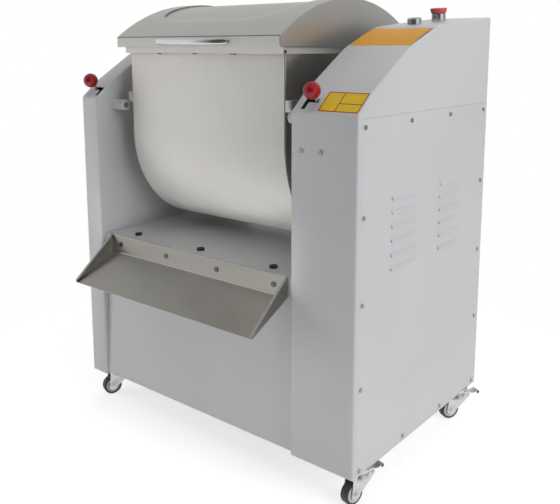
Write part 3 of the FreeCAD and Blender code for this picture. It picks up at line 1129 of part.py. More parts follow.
head_section = [(0, -8), (stem, -8), (stem, head_roof), (head_room, head_roof), (head_room, head_low),
                (head_half - 1.5, head_low), (head_half, head_low + 1.5), (head_half, head_top - 5),
                (head_half - 2, head_top - 1.8), (head_half - 7, head_top), (0, head_top)]
node(turned_body("mushroom", head_section, top_place(d.estop_run), ON_TOP), "estop_head")

# Casters: a stem and head screwed into the pedestals, and a fork, wheel and pedal that swivel.
heads = []
for name, c in caster_spots.items():
    place = (c.x, y_front + c.run, z_foot)
    section = [(0, -d.caster_head_high), (d.caster_head / 2 - 3, -d.caster_head_high),
               (d.caster_head / 2, -d.caster_head_high + 3), (d.caster_head / 2, -d.spare),
               (d.caster_stem / 2, -d.spare), (d.caster_stem / 2, d.caster_stem_long), (0, d.caster_stem_long)]
    heads.append(turned_body(f"head_{name}", section, place))
node(group("head_group", heads), "caster_heads")

fork_top = d.caster_high - d.caster_head_high - d.spare
axle_high = d.wheel_wide / 2
crown_half = d.caster_head / 2 - 1
leg_span = d.tread_wide / 2 + d.fork_gap
for name, c in caster_spots.items():
    turn = FreeCAD.Rotation(V(0, 0, 1), c.turn)
    origin = V(c.x, y_front + c.run, 0)

    def at(x, y, z):
        """Point of this caster from its swivel axis on the floor."""
        return origin + turn.multVec(V(x, y, z))

    crown = cylinder(f"crown_{name}", "Sizes.caster_head / 2 - 1", "Sizes.fork_skin",
                     at(0, 0, fork_top - d.fork_skin))
    bridge = box(f"bridge_{name}", "Sizes.tread_wide + 2 * Sizes.fork_gap + 2 * Sizes.fork_skin",
                 "Sizes.caster_head - 2", "Sizes.fork_skin",
                 at(-leg_span - d.fork_skin, -crown_half, fork_top - d.fork_skin), turn)
    trail = -d.caster_trail
    pivot_y, pivot_z = crown_half + 6, fork_top - 10
    round_end = Part.Arc(V(trail - 9, axle_high, 0), V(trail, axle_high - 9, 0), V(trail + 9, axle_high, 0))
    ear = d.pedal_eye / 2
    leg_curves = [round_end, Part.LineSegment(V(trail + 9, axle_high, 0), V(pivot_y, pivot_z - ear, 0)),
                  Part.Arc(V(pivot_y, pivot_z - ear, 0), V(pivot_y + ear, pivot_z, 0),
                           V(pivot_y, pivot_z + ear, 0)),
                  Part.LineSegment(V(pivot_y, pivot_z + ear, 0), V(crown_half, fork_top, 0)),
                  Part.LineSegment(V(crown_half, fork_top, 0), V(-crown_half, fork_top, 0)),
                  Part.LineSegment(V(-crown_half, fork_top, 0), V(-crown_half - 4, fork_top - 8, 0)),
                  Part.LineSegment(V(-crown_half - 4, fork_top - 8, 0), V(trail - 9, axle_high, 0))]
    legs = [slab(f"leg_{name}_{number}", leg_curves, "Sizes.fork_skin", at(x, 0, 0), turn * SIDE_ON)
            for number, x in enumerate((-leg_span - d.fork_skin, leg_span))]
    axle = cylinder(f"axle_{name}", "Sizes.axle_wide / 2",
                    "Sizes.tread_wide + 2 * Sizes.fork_gap + 2 * Sizes.fork_skin + 6",
                    at(-leg_span - d.fork_skin - 3, trail, axle_high), turn * TO_RIGHT)
    pedal_pin = cylinder(f"pedal_pin_{name}", "Sizes.pedal_pin / 2",
                         "Sizes.tread_wide + 2 * Sizes.fork_gap + 2 * Sizes.fork_skin",
                         at(-leg_span - d.fork_skin, pivot_y, pivot_z), turn * TO_RIGHT)
    node(join(f"fork_welded_{name}", [crown, bridge, axle, pedal_pin] + legs), f"fork_{name}")

    half = d.tread_wide / 2
    rim = d.wheel_wide / 2 + d.tread_flat
    bore = d.axle_wide / 2 + d.fit
    tyre = [(bore, -half), (rim * 0.72, -half), (rim * 0.76, -half + 1), (rim - 3, -half), (rim, -half + 3),
            (rim, half - 3), (rim - 3, half), (rim * 0.76, half - 1), (rim * 0.72, half), (bore, half)]
    round_tyre = turned_body(f"tyre_{name}", tyre, at(0, trail, axle_high), turn * TO_RIGHT)
    under_floor = box(f"floor_{name}", "Sizes.wheel_wide", "Sizes.wheel_wide", "Sizes.wheel_wide",
                      at(-axle_high, trail - axle_high, -d.wheel_wide), turn)
    node(cut(f"tyre_on_floor_{name}", round_tyre, [under_floor]), f"wheel_{name}")

    knee, toe = pivot_y + d.pedal_long * 0.5, pivot_y + d.pedal_long * 0.85
    blade_curve = [(pivot_y, pivot_z - 3), (knee, pivot_z - 5), (toe, pivot_z + 4), (toe, pivot_z + 7),
                   (knee, pivot_z - 1.5), (pivot_y, pivot_z + 3)]
    blade = slab(f"blade_{name}", loop(blade_curve), "Sizes.pedal_wide",
                 at(-d.pedal_wide / 2, 0, 0), turn * SIDE_ON)
    eye = cylinder(f"pedal_eye_{name}", "Sizes.pedal_eye / 2", "Sizes.pedal_wide",
                   at(-d.pedal_wide / 2, pivot_y, pivot_z), turn * TO_RIGHT)
    pin_hole = cylinder(f"pedal_hole_{name}", "Sizes.pedal_pin / 2 + Sizes.fit", "Sizes.pedal_wide * 3",
                        at(-d.pedal_wide * 1.5, pivot_y, pivot_z), turn * TO_RIGHT)
    node(cut(f"pedal_{name}", join(f"pedal_blank_{name}", [blade, eye]), [pin_hole]), f"brake_pedal_{name}")

doc.recompute()
for item in doc.Objects:
    if "Invalid" in item.State or "Error" in item.State:
        raise RuntimeError(f"{item.Name} failed: {item.State}")
for item in nodes:
    if item.Shape.isNull() or not item.Shape.isValid() or not item.Shape.Solids:
        raise RuntimeError(f"{item.Label} has no valid solid")

os.makedirs("parts", exist_ok=True)
for item in nodes:
    item.Shape.exportStep(f"parts/{item.Label}.step")
whole = Part.makeCompound([item.Shape for item in nodes]).BoundBox
print(len(nodes), "nodes", round(whole.XLength, 1), round(whole.YLength, 1), round(whole.ZLength, 1))
print("box", [round(v, 2) for v in (whole.XMin, whole.XMax, whole.YMin, whole.YMax, whole.ZMin, whole.ZMax)])
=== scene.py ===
"""Dough mixer: its looks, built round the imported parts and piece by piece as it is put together."""
import bpy
import bmesh
import json
from math import atan2, copysign, cos, hypot, pi, radians, sin, sqrt
from mathutils import Matrix, Vector


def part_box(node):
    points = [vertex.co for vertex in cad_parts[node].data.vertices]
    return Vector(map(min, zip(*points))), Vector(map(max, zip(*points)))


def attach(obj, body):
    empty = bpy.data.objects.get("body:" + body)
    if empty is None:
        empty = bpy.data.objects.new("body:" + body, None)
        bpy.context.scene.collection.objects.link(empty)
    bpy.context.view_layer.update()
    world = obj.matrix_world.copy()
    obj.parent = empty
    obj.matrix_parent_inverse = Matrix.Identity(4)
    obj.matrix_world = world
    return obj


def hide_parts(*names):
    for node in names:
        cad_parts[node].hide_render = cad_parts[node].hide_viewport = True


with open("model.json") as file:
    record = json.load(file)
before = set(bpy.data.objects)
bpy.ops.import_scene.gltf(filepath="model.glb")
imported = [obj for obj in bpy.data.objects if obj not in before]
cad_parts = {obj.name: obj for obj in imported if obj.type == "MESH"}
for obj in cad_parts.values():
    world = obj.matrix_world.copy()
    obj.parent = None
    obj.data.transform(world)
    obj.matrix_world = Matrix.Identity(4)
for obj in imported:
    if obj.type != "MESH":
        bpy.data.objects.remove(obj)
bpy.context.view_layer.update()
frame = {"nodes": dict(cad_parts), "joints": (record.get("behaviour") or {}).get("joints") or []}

nodes = frame["nodes"]

# Pedestal casings: 2 mm steel, each folded and welded into a tall box with a sloping top.
# They are powder coated light grey, which gives a low gloss, an orange peel and soft folds.
casing_sheet, casing_fold = 0.002, 0.0045
cover_run, cover_height, cover_opening = 0.297, 0.3695, (0.5688, 0.7338)
trunnion_run, trunnion_height, trunnion_hole = 0.308, 0.655, 0.034
lock_run, lock_height, lock_hole = 0.06, 0.724, 0.0136
slot_width, slot_leg, cut_depth = 0.011, 0.031, 0.02


def linear(code):
    """An sRGB colour such as "#c9cacc" as linear red, green, blue and alpha."""
    parts = [int(code[i:i + 2], 16) / 255 for i in (1, 3, 5)]
    return [p / 12.92 if p <= 0.04045 else ((p + 0.055) / 1.055) ** 2.4 for p in parts] + [1]


def add(tree, kind, settings, links=()):
    """Add a node: settings by socket or attribute name, links as (socket, node, output)."""
    new = tree.nodes.new("ShaderNode" + kind)
    for name, value in settings.items():
        if name == "stops":
            for stop, (position, code) in zip(new.color_ramp.elements, value):
                stop.position = position
                stop.color = linear(code)
        elif isinstance(name, int) or name in new.inputs:
            new.inputs[name].default_value = value
        else:
            setattr(new, name, value)
    for socket, source, output in links:
        tree.links.new(source.outputs[output], new.inputs[socket])
    return new


def blank_finish(name):
    """A new material and its empty tree."""
    made = bpy.data.materials.new(name)
    made.use_nodes = True
    made.node_tree.nodes.clear()
    return made, made.node_tree


def wear(finish, *names):
    """Give CAD nodes a finish."""
    for name in names:
        nodes[name].data.materials.clear()
        nodes[name].data.materials.append(finish)


def settle():
    """Leave edit mode, with nothing selected."""
    if bpy.context.object and bpy.context.object.mode == "EDIT":
        bpy.ops.object.mode_set(mode="OBJECT")
    bpy.ops.object.select_all(action="DESELECT")


def start(name, primitive, spot=(0, 0, 0), turn=(0, 0, 0), stretch=(1, 1, 1), **settings):
    """Add a primitive and put its place, turn and stretch into its mesh."""
    settle()
    primitive(location=spot, rotation=turn, **settings)
    made = bpy.context.object
    made.name = made.data.name = name
    made.scale = stretch
    bpy.ops.object.transform_apply(location=True, rotation=True, scale=True)
    return made


def brick(name, spot, sides, lean=0):
    """A box round its middle, leaned about x."""
    return start(name, bpy.ops.mesh.primitive_cube_add, spot, (lean, 0, 0), sides, size=1)


def drum(name, spot, radius, depth, sides=48):
    """A cylinder that lies along x."""
    return start(name, bpy.ops.mesh.primitive_cylinder_add, spot, (0, pi / 2, 0),
                 vertices=sides, radius=radius, depth=depth)


def edit(made):
    """Open a piece in edit mode."""
    if bpy.context.object != made:
        settle()
        bpy.context.view_layer.objects.active = made
    bpy.ops.object.mode_set(mode="EDIT")


def pick(made, kind, test):
    """Go to edit mode and select the verts, edges or faces that pass a test."""
    edit(made)
    bpy.ops.mesh.select_mode(type=kind)
    bpy.ops.mesh.select_all(action="DESELECT")
    mesh = bmesh.from_edit_mesh(made.data)
    mesh.normal_update()
    for item in {"VERT": mesh.verts, "EDGE": mesh.edges, "FACE": mesh.faces}[kind]:
        if test(item):
            item.select_set(True)
    mesh.select_flush_mode()
    bmesh.update_edit_mesh(made.data)


def middle(edge):
    """Middle of an edge."""
    return (edge.verts[0].co + edge.verts[1].co) / 2


def draw_out(made, test, way):
    """Extrude the edges that pass a test."""
    pick(made, "EDGE", test)
    bpy.ops.mesh.extrude_region_move(TRANSFORM_OT_translate={"value": way})


def score(made, point, normal, **how):
    """Cut a piece by a plane; clear_outer takes away what lies beyond it, use_fill closes the cut."""
    pick(made, "FACE", lambda face: True)
    bpy.ops.mesh.bisect(plane_co=point, plane_no=normal, **how)


def round_edges(made, size, sharp=30, steps=2, test=lambda edge: True):
    """Round the edges that turn by more than an angle."""
    pick(made, "EDGE", lambda edge: edge.calc_face_angle(0) > radians(sharp) and test(edge))
    bpy.ops.mesh.bevel(offset=size, segments=steps, affect="EDGES")


def modify(made, kind, **settings):
    """Add a modifier with its settings and apply it."""
    settle()
    bpy.context.view_layer.objects.active = made
    step = made.modifiers.new(kind, kind)
    for name, value in settings.items():
        setattr(step, name, value)
    bpy.ops.object.modifier_apply(modifier=step.name)


def carve(made, tool, how="DIFFERENCE"):
    """Cut a tool out of a piece, or weld it on with UNION, and put the tool away."""
    modify(made, "BOOLEAN", object=tool, operation=how, solver="EXACT")
    bpy.data.objects.remove(tool)


def close(made, finish, body, slot, *replaced, angle=30):
    """Finish a piece: shading, material, what it rides on and what it stands for; slot is not used."""
    settle()
    made.select_set(True)
    bpy.context.view_layer.objects.active = made
    bpy.ops.object.shade_smooth_by_angle(angle=radians(angle))
    made.data.materials.clear()
    made.data.materials.append(finish)
    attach(made, body)
    if replaced:
        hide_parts(*replaced)
    bpy.ops.object.select_all(action="DESELECT")


def powder_coated(name, soft):
    """Powder coat: an orange peel under a low gloss; soft rounds the folds that are bent in a press."""
    made, tree = blank_finish(name)
    place = add(tree, "TexCoord", {})
    # the peel's real cells are 1 mm wide; drawn at 2.4 mm so that they show
    peel = add(tree, "TexNoise", {"Scale": 420, "Detail": 2}, [("Vector", place, "Object")])
    cloud = add(tree, "TexNoise", {"Scale": 3, "Detail": 2}, [("Vector", place, "Object")])
    tone = add(tree, "ValToRGB", {"stops": ((0.35, "#c6c7c9"), (0.65, "#cbccce"))}, [("Fac", cloud, "Fac")])
    shaped = [("Height", peel, "Fac")]
    if soft:
        shaped.append(("Normal", add(tree, "Bevel", {"samples": 4, "Radius": 0.002}), 0))
    bump = add(tree, "Bump", {"Strength": 0.06, "Distance": 0.0004}, shaped)
    coat = add(tree, "BsdfPrincipled", {"Roughness": 0.38, "IOR": 1.5},
               [("Base Color", tone, "Color"), ("Normal", bump, "Normal")])
    add(tree, "OutputMaterial", {}, [("Surface", coat, 0)])
    return made


def arc_points(begin, end, bow, count):
    """Points along a flat arc from begin to end that stands bow over its chord."""
    chord = hypot(end[0] - begin[0], end[1] - begin[1])
    along = ((end[0] - begin[0]) / chord, (end[1] - begin[1]) / chord)
    radius = (chord / 2) ** 2 / (2 * bow) + bow / 2
    points = []
    for step in range(1, count + 1):
        reach = chord * step / count
        rise = sqrt(radius ** 2 - (reach - chord / 2) ** 2) - (radius - bow)
        points.append((begin[0] + along[0] * reach - along[1] * rise,
                       begin[1] + along[1] * reach + along[0] * rise))
    return points


powder_coat = powder_coated("powder_coated_steel", True)
flat_coat = powder_coated("powder_coated_casing", False)
left_low, left_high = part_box("left_pedestal_shell")
right_low, right_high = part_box("right_pedestal_shell")
front, foot = right_low[1], right_low[2]
# the casing's top as (run from its front, height over its foot)
lip, brow, shoulder, crest = (0.0, 0.744), (0.048, 0.784), (0.245, 0.8945), (0.33, 0.9185)
profile = [lip, brow, *arc_points(brow, shoulder, 0.006, 10), *arc_points(shoulder, crest, 0.002, 4)]
profile.append((0.584, 0.942))
slope = atan2(brow[1] - lip[1], brow[0] - lip[0])
slope_up = Vector((0, -sin(slope), cos(slope)))
slope_down = Vector((0, -cos(slope), -sin(slope)))
lock_axis = Vector((0, front + lock_run, foot + lock_height))
slot_middle = lock_axis + slope_up * (Vector((0, front, foot + lip[1])) - lock_axis).dot(slope_up)


def casing(side, outward, low, high, lever):
    """One pedestal's casing, open for its side cover, its lever, the trunnion and the lock pin."""
    wide, deep, tall = (high[i] - low[i] for i in range(3))
    spare = 0.02
    made = brick(side + "_casing", (low[0] + wide / 2, low[1] + deep / 2, foot + (tall + spare) / 2),
                 (wide, deep, tall + spare))
    for a, b in zip(profile, profile[1:]):
        score(made, (0, front + a[0], foot + a[1]), (0, a[1] - b[1], b[0] - a[0]),
              clear_outer=True, use_fill=True)
    round_edges(made, casing_fold, 35, 4, lambda edge: abs(middle(edge).z - foot) > 1e-4)
    modify(made, "SOLIDIFY", thickness=casing_sheet, offset=-1, use_even_offset=True)
    inner_x, outer_x = (low[0], high[0]) if outward > 0 else (high[0], low[0])
    lever_x = inner_x + outward * lever
    across = slot_middle + Vector((lever_x - outward * slot_width, 0, 0))
    along = slot_middle + slope_down * 0.01 + Vector((lever_x - outward * 2 * slot_width, 0, 0))
    for tool in (brick("cutter", (outer_x, front + cover_run, foot + cover_height), (0.01, *cover_opening)),
                 brick("cutter", across, (3 * slot_width, slot_width, cut_depth), slope),
                 brick("cutter", along, (slot_width, slot_leg, cut_depth), slope),
                 drum("cutter", (inner_x, front + trunnion_run, foot + trunnion_height),
                      trunnion_hole, cut_depth, 64),
                 drum("cutter", lock_axis + Vector((inner_x, 0, 0)), lock_hole, cut_depth)):
        carve(made, tool)
    close(made, flat_coat, "machine", "casing_paint", side + "_pedestal_shell", side + "_inner_plate")


casing("left", -1, left_low, left_high, 0.031)
casing("right", 1, right_low, right_high, 0.046)
wear(powder_coat, "front_panel", "rear_panel", "deck_panel", "stop_bar", "lock_guides")
wear(flat_coat, "left_side_cover", "right_side_cover")

# Bowl: a U of 2.5 mm stainless sheet between two welded end plates, with a lock lug on each end.
# The sheet is brushed up and down, which draws soft streaks and spreads every reflection.
bowl_sheet, bowl_corner, bowl_bore, end_reach = 0.0025, 0.003, 0.026, 0.004
lug_size, lug_round = Vector((0.018, 0.03, 0.026)), 0.002


def brushed(name, light, dark, rough, stretch, streak, drawn=0.0, turned=0.0, clear=1.0):
    """Stainless sheet brushed along the axis that stretch makes longest; a satin one is less clear."""
    made, tree = blank_finish(name)
    place = add(tree, "TexCoord", {})
    turn = add(tree, "Mapping", {"Scale": stretch}, [("Vector", place, "Object")])
    # real grit lines are 0.1 mm apart; drawn 1.5 mm apart so that they show
    grit = add(tree, "TexNoise", {"Scale": 650, "Detail": 3}, [("Vector", turn, "Vector")])
    smear = add(tree, "TexNoise", {"Scale": 5, "Detail": 4}, [("Vector", place, "Object")])
    tone = add(tree, "ValToRGB", {"stops": ((0.3, dark), (0.7, light))}, [("Fac", smear, "Fac")])
    line = add(tree, "MapRange", {"From Min": 0.3, "From Max": 0.7, "To Min": 1 - streak, "To Max": 1},
               [("Value", grit, "Fac")])
    lined = add(tree, "VectorMath", {"operation": "SCALE"},
                [("Vector", tone, "Color"), ("Scale", line, "Result")])
    gloss = add(tree, "MapRange", {"From Min": 0.3, "From Max": 0.7, "To Min": rough - 0.04,
                                   "To Max": rough + 0.05}, [("Value", smear, "Fac")])
    fold = add(tree, "Bevel", {"samples": 4, "Radius": 0.001})
    bump = add(tree, "Bump", {"Strength": 0.02, "Distance": 0.0002},
               [("Height", grit, "Fac"), ("Normal", fold, "Normal")])
    metal = add(tree, "BsdfPrincipled",
                {"Metallic": clear, "Anisotropic": drawn, "Anisotropic Rotation": turned},
                [("Base Color", lined, "Vector"), ("Roughness", gloss, "Result"),
                 ("Normal", bump, "Normal")])
    add(tree, "OutputMaterial", {}, [("Surface", metal, 0)])
    return made


def block(name, low, high, round_off, steps=2):
    """A box between two corners with all its edges rounded."""
    made = brick(name, [(a + b) / 2 for a, b in zip(low, high)], [b - a for a, b in zip(low, high)])
    round_edges(made, round_off, steps=steps)
    return made


def weld_on(made, *pieces):
    """Join pieces into one."""
    settle()
    for piece in (made, *pieces):
        piece.select_set(True)
    bpy.context.view_layer.objects.active = made
    bpy.ops.object.join()


def polish(made, finish, test):
    """Give the faces of a finished piece that pass a test another material."""
    made.data.materials.append(finish)
    for face in made.data.polygons:
        if test(face):
            face.material_index = len(made.data.materials) - 1


bowl_steel = brushed("brushed_stainless_bowl", "#e2e0da", "#dad7d1", 0.5, (1, 1, 0.02), 0.035,
                     drawn=0.7, turned=0.25, clear=0.62)
trough_low, trough_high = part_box("bowl_trough")
bowl_radius = (trough_high[1] - trough_low[1]) / 2
axis_y, axis_z = trough_low[1] + bowl_radius, trough_low[2] + bowl_radius
bowl_left, bowl_right = trough_low[0] - end_reach, trough_high[0] + end_reach
bowl_mid = (bowl_left + bowl_right) / 2
round_top = axis_z + 0.001
bowl = drum("bowl_sheet", (bowl_mid, axis_y, axis_z), bowl_radius, bowl_right - bowl_left, 128)
score(bowl, (0, 0, round_top), (0, 0, 1), clear_outer=True)
draw_out(bowl, lambda edge: edge.is_boundary, (0, 0, trough_high[2] - round_top))
round_edges(bowl, bowl_corner, 60, 4)
modify(bowl, "SOLIDIFY", thickness=bowl_sheet, offset=-1, use_even_offset=True)
for end in (bowl_left, bowl_right):
    carve(bowl, drum("cutter", (end, axis_y, axis_z), bowl_bore, cut_depth, 64))
lug_corners = [Vector((x, trough_low[1], lock_axis.z + 0.009)) for x in (bowl_left - lug_size.x, bowl_right)]
weld_on(bowl, *[block("lug", corner, corner + lug_size, lug_round) for corner in lug_corners])
close(bowl, bowl_steel, "bowl", "bowl_sheet", "bowl_trough", "bowl_ends")
# the weld that joins the trough to its ends is ground bright
seam_steel = brushed("ground_weld_seam", "#b4b3af", "#a9a8a4", 0.2, (1, 1, 1), 0.03)
end_steel = brushed("brushed_stainless_ends", "#bcbbb6", "#b2b1ac", 0.3, (1, 1, 0.02), 0.05)
polish(bowl, seam_steel,
       lambda face: 0.25 < abs(face.normal.x) < 0.93 and bowl_left < face.center.x < bowl_right)
polish(bowl, end_steel, lambda face: abs(face.normal.x) > 0.93
       or not bowl_left - 0.001 < face.center.x < bowl_right + 0.001)
wear(bowl_steel, "bowl_rim", "bowl_trunnions")

# Lid: one domed sheet with a skirt all round, a flange folded in under it and a panel pressed into its top.
# It is brushed from side to side; the press leaves a sharp step at the far left and a soft one in front.
lid_sheet, lid_fold, skirt = 0.0015, 0.0016, 0.024
panel_margin, panel_corner, panel_depth, sharp_step, soft_step = 0.05, 0.11, 0.0045, 0.005, 0.03
leaf_half, eye_radius, eye_bore = 0.0097, 0.007, 0.00405
lid_low, lid_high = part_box("lid_shell")
dome_low = Vector((bowl_left - 0.013, axis_y - 0.277, lid_low[2]))
dome_high = Vector((bowl_right + 0.013, axis_y + 0.265, lid_high[2] - 0.0002))
dome_mid, dome_size = (dome_low + dome_high) / 2, dome_high - dome_low
eave = lid_low[2] + skirt
dome_rise = dome_high.z - eave
dome_radius = ((dome_size.y / 2) ** 2 + dome_rise ** 2) / (2 * dome_rise)
panel_half = dome_size.xy / 2 - Vector((panel_margin, panel_margin))


def reshape(made, rule):
    """Move every corner of a mesh by a rule, as with proportional editing."""
    edit(made)
    mesh = bmesh.from_edit_mesh(made.data)
    for corner in mesh.verts:
        corner.co = rule(corner.co)
    bmesh.update_edit_mesh(made.data)
    bpy.ops.object.mode_set(mode="OBJECT")


def dome(corner):
    """Height of the lid's sheet over a point of its grid."""
    x, y = corner.x - dome_mid.x, corner.y - dome_mid.y
    height = dome_high.z - dome_radius + sqrt(dome_radius ** 2 - y ** 2)
    out = Vector((abs(x), abs(y))) - panel_half + Vector((panel_corner, panel_corner))
    reach = Vector((max(out.x, 0), max(out.y, 0))).length + min(max(out.x, out.y), 0) - panel_corner
    way = Vector((copysign(max(out.x, 0.0001), x), copysign(max(out.y, 0.0001), y))).normalized()
    soft = min(max((way.dot(Vector((0.707, -0.707))) + 0.2) / 0.7, 0), 1)
    share = min(max(-reach / (sharp_step + soft_step * soft), 0), 1)
    return Vector((corner.x, corner.y, height - panel_depth * share * share * (3 - 2 * share)))


lid = start("lid_sheet", bpy.ops.mesh.primitive_grid_add, (dome_mid.x, dome_mid.y, eave),
            stretch=(dome_size.x, dome_size.y, 1), x_subdivisions=205, y_subdivisions=205, size=1)
reshape(lid, dome)
draw_out(lid, lambda edge: edge.is_boundary, (0, 0, 0))
bpy.ops.transform.resize(value=(1, 1, 0), center_override=(0, 0, dome_low.z))
draw_out(lid, lambda edge: edge.is_boundary, (0, 0, 0))
across = (bowl_right - bowl_left - 0.008) / dome_size.x
along = (2 * bowl_radius - 0.008) / dome_size.y
bpy.ops.transform.resize(value=(across, along, 1), center_override=(dome_mid.x, dome_mid.y, dome_low.z))
bpy.ops.transform.translate(value=(0, axis_y - dome_mid.y, 0))
round_edges(lid, lid_fold, 40, 3)
modify(lid, "SOLIDIFY", thickness=lid_sheet, offset=-1)
hinge_low, hinge_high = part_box("lid_hinge_pins")
pin_y, pin_z = (hinge_low[1] + hinge_high[1]) / 2, (hinge_low[2] + hinge_high[2]) / 2
for mid in (bowl_mid - 0.18, bowl_mid + 0.18):
    leaf = block("leaf", (mid - leaf_half, dome_high.y - 0.001, pin_z + 0.002),
                 (mid + leaf_half, dome_high.y + 0.008, pin_z + 0.007), 0.001)
    eye = drum("eye", (mid, pin_y, pin_z), eye_radius, 2 * leaf_half, 40)
    carve(eye, drum("cutter", (mid, pin_y, pin_z), eye_bore, 0.05, 40))
    weld_on(lid, leaf, eye)
close(lid, brushed("brushed_stainless_lid", "#d3d2ce", "#cbcac6", 0.45, (0.02, 1, 1), 0.05),
      "lid", "bowl_sheet", "lid_shell", angle=35)
polish(lid, seam_steel, lambda face: 0.25 < abs(face.normal.x) < 0.96 and abs(face.normal.z) < 0.2)
# painted shade: the front eave's fold and the far left step of the pressed panel get a darker steel, which
# draws as colour the dark lines that reflection and shade make there
polish(lid, brushed("painted_shade_lid_lines", "#8b8a87", "#7f7e7b", 0.4, (0.02, 1, 1), 0.05),
       lambda face: face.normal.y < -0.6 and abs(face.normal.x) < 0.2 and 0.15 < face.normal.z < 0.7
       or face.center.x < dome_mid.x - 0.1 and face.normal.x > 0.35 and face.normal.z > 0.3)

# Rim pads: three small rubber blocks under the front of the bowl's rim, and a dark rivet at its corner.
# The rubber is black and glued on; the rivet is blackened steel with a low round head, drawn with the pads'
# black rubber finish.
rivet_radius, rivet_head, rivet_round = 0.0034, 0.0026, 0.0012
rim_low, rim_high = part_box("bowl_rim")


def moulded(name, code, rough, scale, depth):
    """A plain moulded or painted finish with a fine grain."""
    made, tree = blank_finish(name)
    place = add(tree, "TexCoord", {})
    grain = add(tree, "TexNoise", {"Scale": scale, "Detail": 3}, [("Vector", place, "Object")])
    bump = add(tree, "Bump", {"Strength": depth, "Distance": 0.0004}, [("Height", grain, "Fac")])
    gloss = add(tree, "MapRange", {"To Min": rough - 0.05, "To Max": rough + 0.05},
                [("Value", grain, "Fac")])
    body = add(tree, "BsdfPrincipled", {"Base Color": linear(code), "IOR": 1.5},
               [("Roughness", gloss, "Result"), ("Normal", bump, "Normal")])
    add(tree, "OutputMaterial", {}, [("Surface", body, 0)])
    return made


pad_rubber = moulded("black_pad_rubber", "#1c1c1d", 0.6, 500, 0.2)
for number, pad_x, half in ((1, -0.134, 0.0027), (2, -0.014, 0.0036), (3, 0.107, 0.0065)):
    pad = block("rim_pad_%d" % number, (bowl_mid + pad_x - half, rim_low[1] + 0.0003, rim_low[2] - 0.002),
                (bowl_mid + pad_x + half, rim_low[1] + 0.009, rim_low[2] + 0.0005), 0.0005)
    close(pad, pad_rubber, "bowl", "black_rubber")
rivet_x = rim_high[0] + 0.001
rivet = drum("rim_rivet", (rivet_x, rim_low[1] + 0.006, rim_low[2] + 0.0045), rivet_radius, rivet_head, 32)
pick(rivet, "EDGE", lambda edge: middle(edge).x > rivet_x)
bpy.ops.mesh.bevel(offset=rivet_round, segments=3, affect="EDGES")
close(rivet, pad_rubber, "bowl", "black_rubber")

# Bright plating: screws, pins, hinges, bezels and collars, plated with nickel, chrome or zinc.
# It gives a clear reflection that a faint grain breaks up a little.


def bright(name, code, low, high):
    """A plated finish between two roughnesses."""
    made, tree = blank_finish(name)
    place = add(tree, "TexCoord", {})
    grain = add(tree, "TexNoise", {"Scale": 180, "Detail": 3}, [("Vector", place, "Object")])
    gloss = add(tree, "MapRange", {"To Min": low, "To Max": high}, [("Value", grain, "Fac")])
    fold = add(tree, "Bevel", {"samples": 4, "Radius": 0.0004})
    bump = add(tree, "Bump", {"Strength": 0.03, "Distance": 0.0002},
               [("Height", grain, "Fac"), ("Normal", fold, "Normal")])
    metal = add(tree, "BsdfPrincipled", {"Metallic": 1, "Base Color": linear(code)},
                [("Roughness", gloss, "Result"), ("Normal", bump, "Normal")])
    add(tree, "OutputMaterial", {}, [("Surface", metal, 0)])
    return made


chrome = bright("chromed_steel", "#cfd0d2", 0.05, 0.13)
wear(chrome, "start_bezel", "estop_collar", "left_lock_pin", "right_lock_pin")
wear(bright("nickel_plated_screws", "#a0a1a3", 0.2, 0.32), "cover_screws")
# painted shade: the tray's screws get a darker copy of the nickel, which stands for their dark sockets and
# shaded sides
wear(bright("shade_darkened_nickel_screws", "#66676a", 0.16, 0.28), "tray_screws")
wear(bright("zinc_plated_steel", "#c8c9c8", 0.22, 0.4), "lid_hinge_pins", "lid_hinge_brackets")

# Lid handle: a chromed bow, thickest in the middle and drawn out to a blunt end at each side.
# It is bent from solid bar, polished before it is plated and screwed on from inside the skirt.
grip_foot, grip_thin, grip_swell = 0.003, 0.0026, 0.002
grip_tall, grip_flare, end_taper = 0.0066, 0.0012, 0.45
grip_low, grip_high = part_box("lid_handle")
grip_half, grip_out = (grip_high[0] - grip_low[0]) / 2 - 0.0005, grip_high[1] - grip_low[1] - 0.0088
grip_mid = (Vector(grip_low) + Vector(grip_high)) / 2
grip = drum("handle_bow", (0, 0, 0), 1, 2, 24)
for step in range(1, 48):
    score(grip, (step / 24 - 1, 0, 0), (1, 0, 0))


def bow_shape(corner):
    """A point of the straight round bar, on the bow."""
    u = corner.x
    swell = 1 - u * u
    square = max(abs(corner.y), abs(corner.z)) ** 0.1
    thick = (grip_thin + grip_swell * swell) / square
    tall = (grip_tall + grip_flare * swell) * (1 - end_taper * u ** 30) / square
    return Vector((grip_mid.x + u * grip_half,
                   grip_high[1] - grip_foot - grip_out * swell ** 0.7 + corner.y * thick,
                   grip_mid.z - 0.001 + corner.z * tall))


reshape(grip, bow_shape)
close(grip, chrome, "lid", "bright_metal", "lid_handle", angle=40)

# Discharge tray: one folded stainless sheet, screwed to the deck by its flange, with a cheek at each end.
# The cheeks' tops are hemmed; handling has left the brushing a little smeared.
tray_sheet, tray_bend, tray_round = 0.0015, 0.003, 0.0014
cheek_rise, tip_rise, hem_in, hem_down = 0.0464, 0.007, 0.0055, 0.003
pan_reach, pan_fall = 0.1152, 0.48773
pan_low, pan_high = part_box("discharge_tray")
face_y, fold_z = front + 0.016, foot + 0.344
tip_y, tip_z = pan_low[1] + 0.0008, fold_z - pan_reach * pan_fall
left_x, right_x = pan_low[0] + 0.003, pan_high[0] - 0.003
pan_mid = Vector(((left_x + right_x) / 2, (face_y + tip_y) / 2, fold_z))


def at_end(edge):
    """Whether an edge lies in the plane of either cheek."""
    return min(abs(middle(edge).x - left_x), abs(middle(edge).x - right_x)) < 1e-4


def at_bend(corner):
    """Whether a point is over the bend between the pan and its flange."""
    return abs(corner.y - face_y) < 1e-4


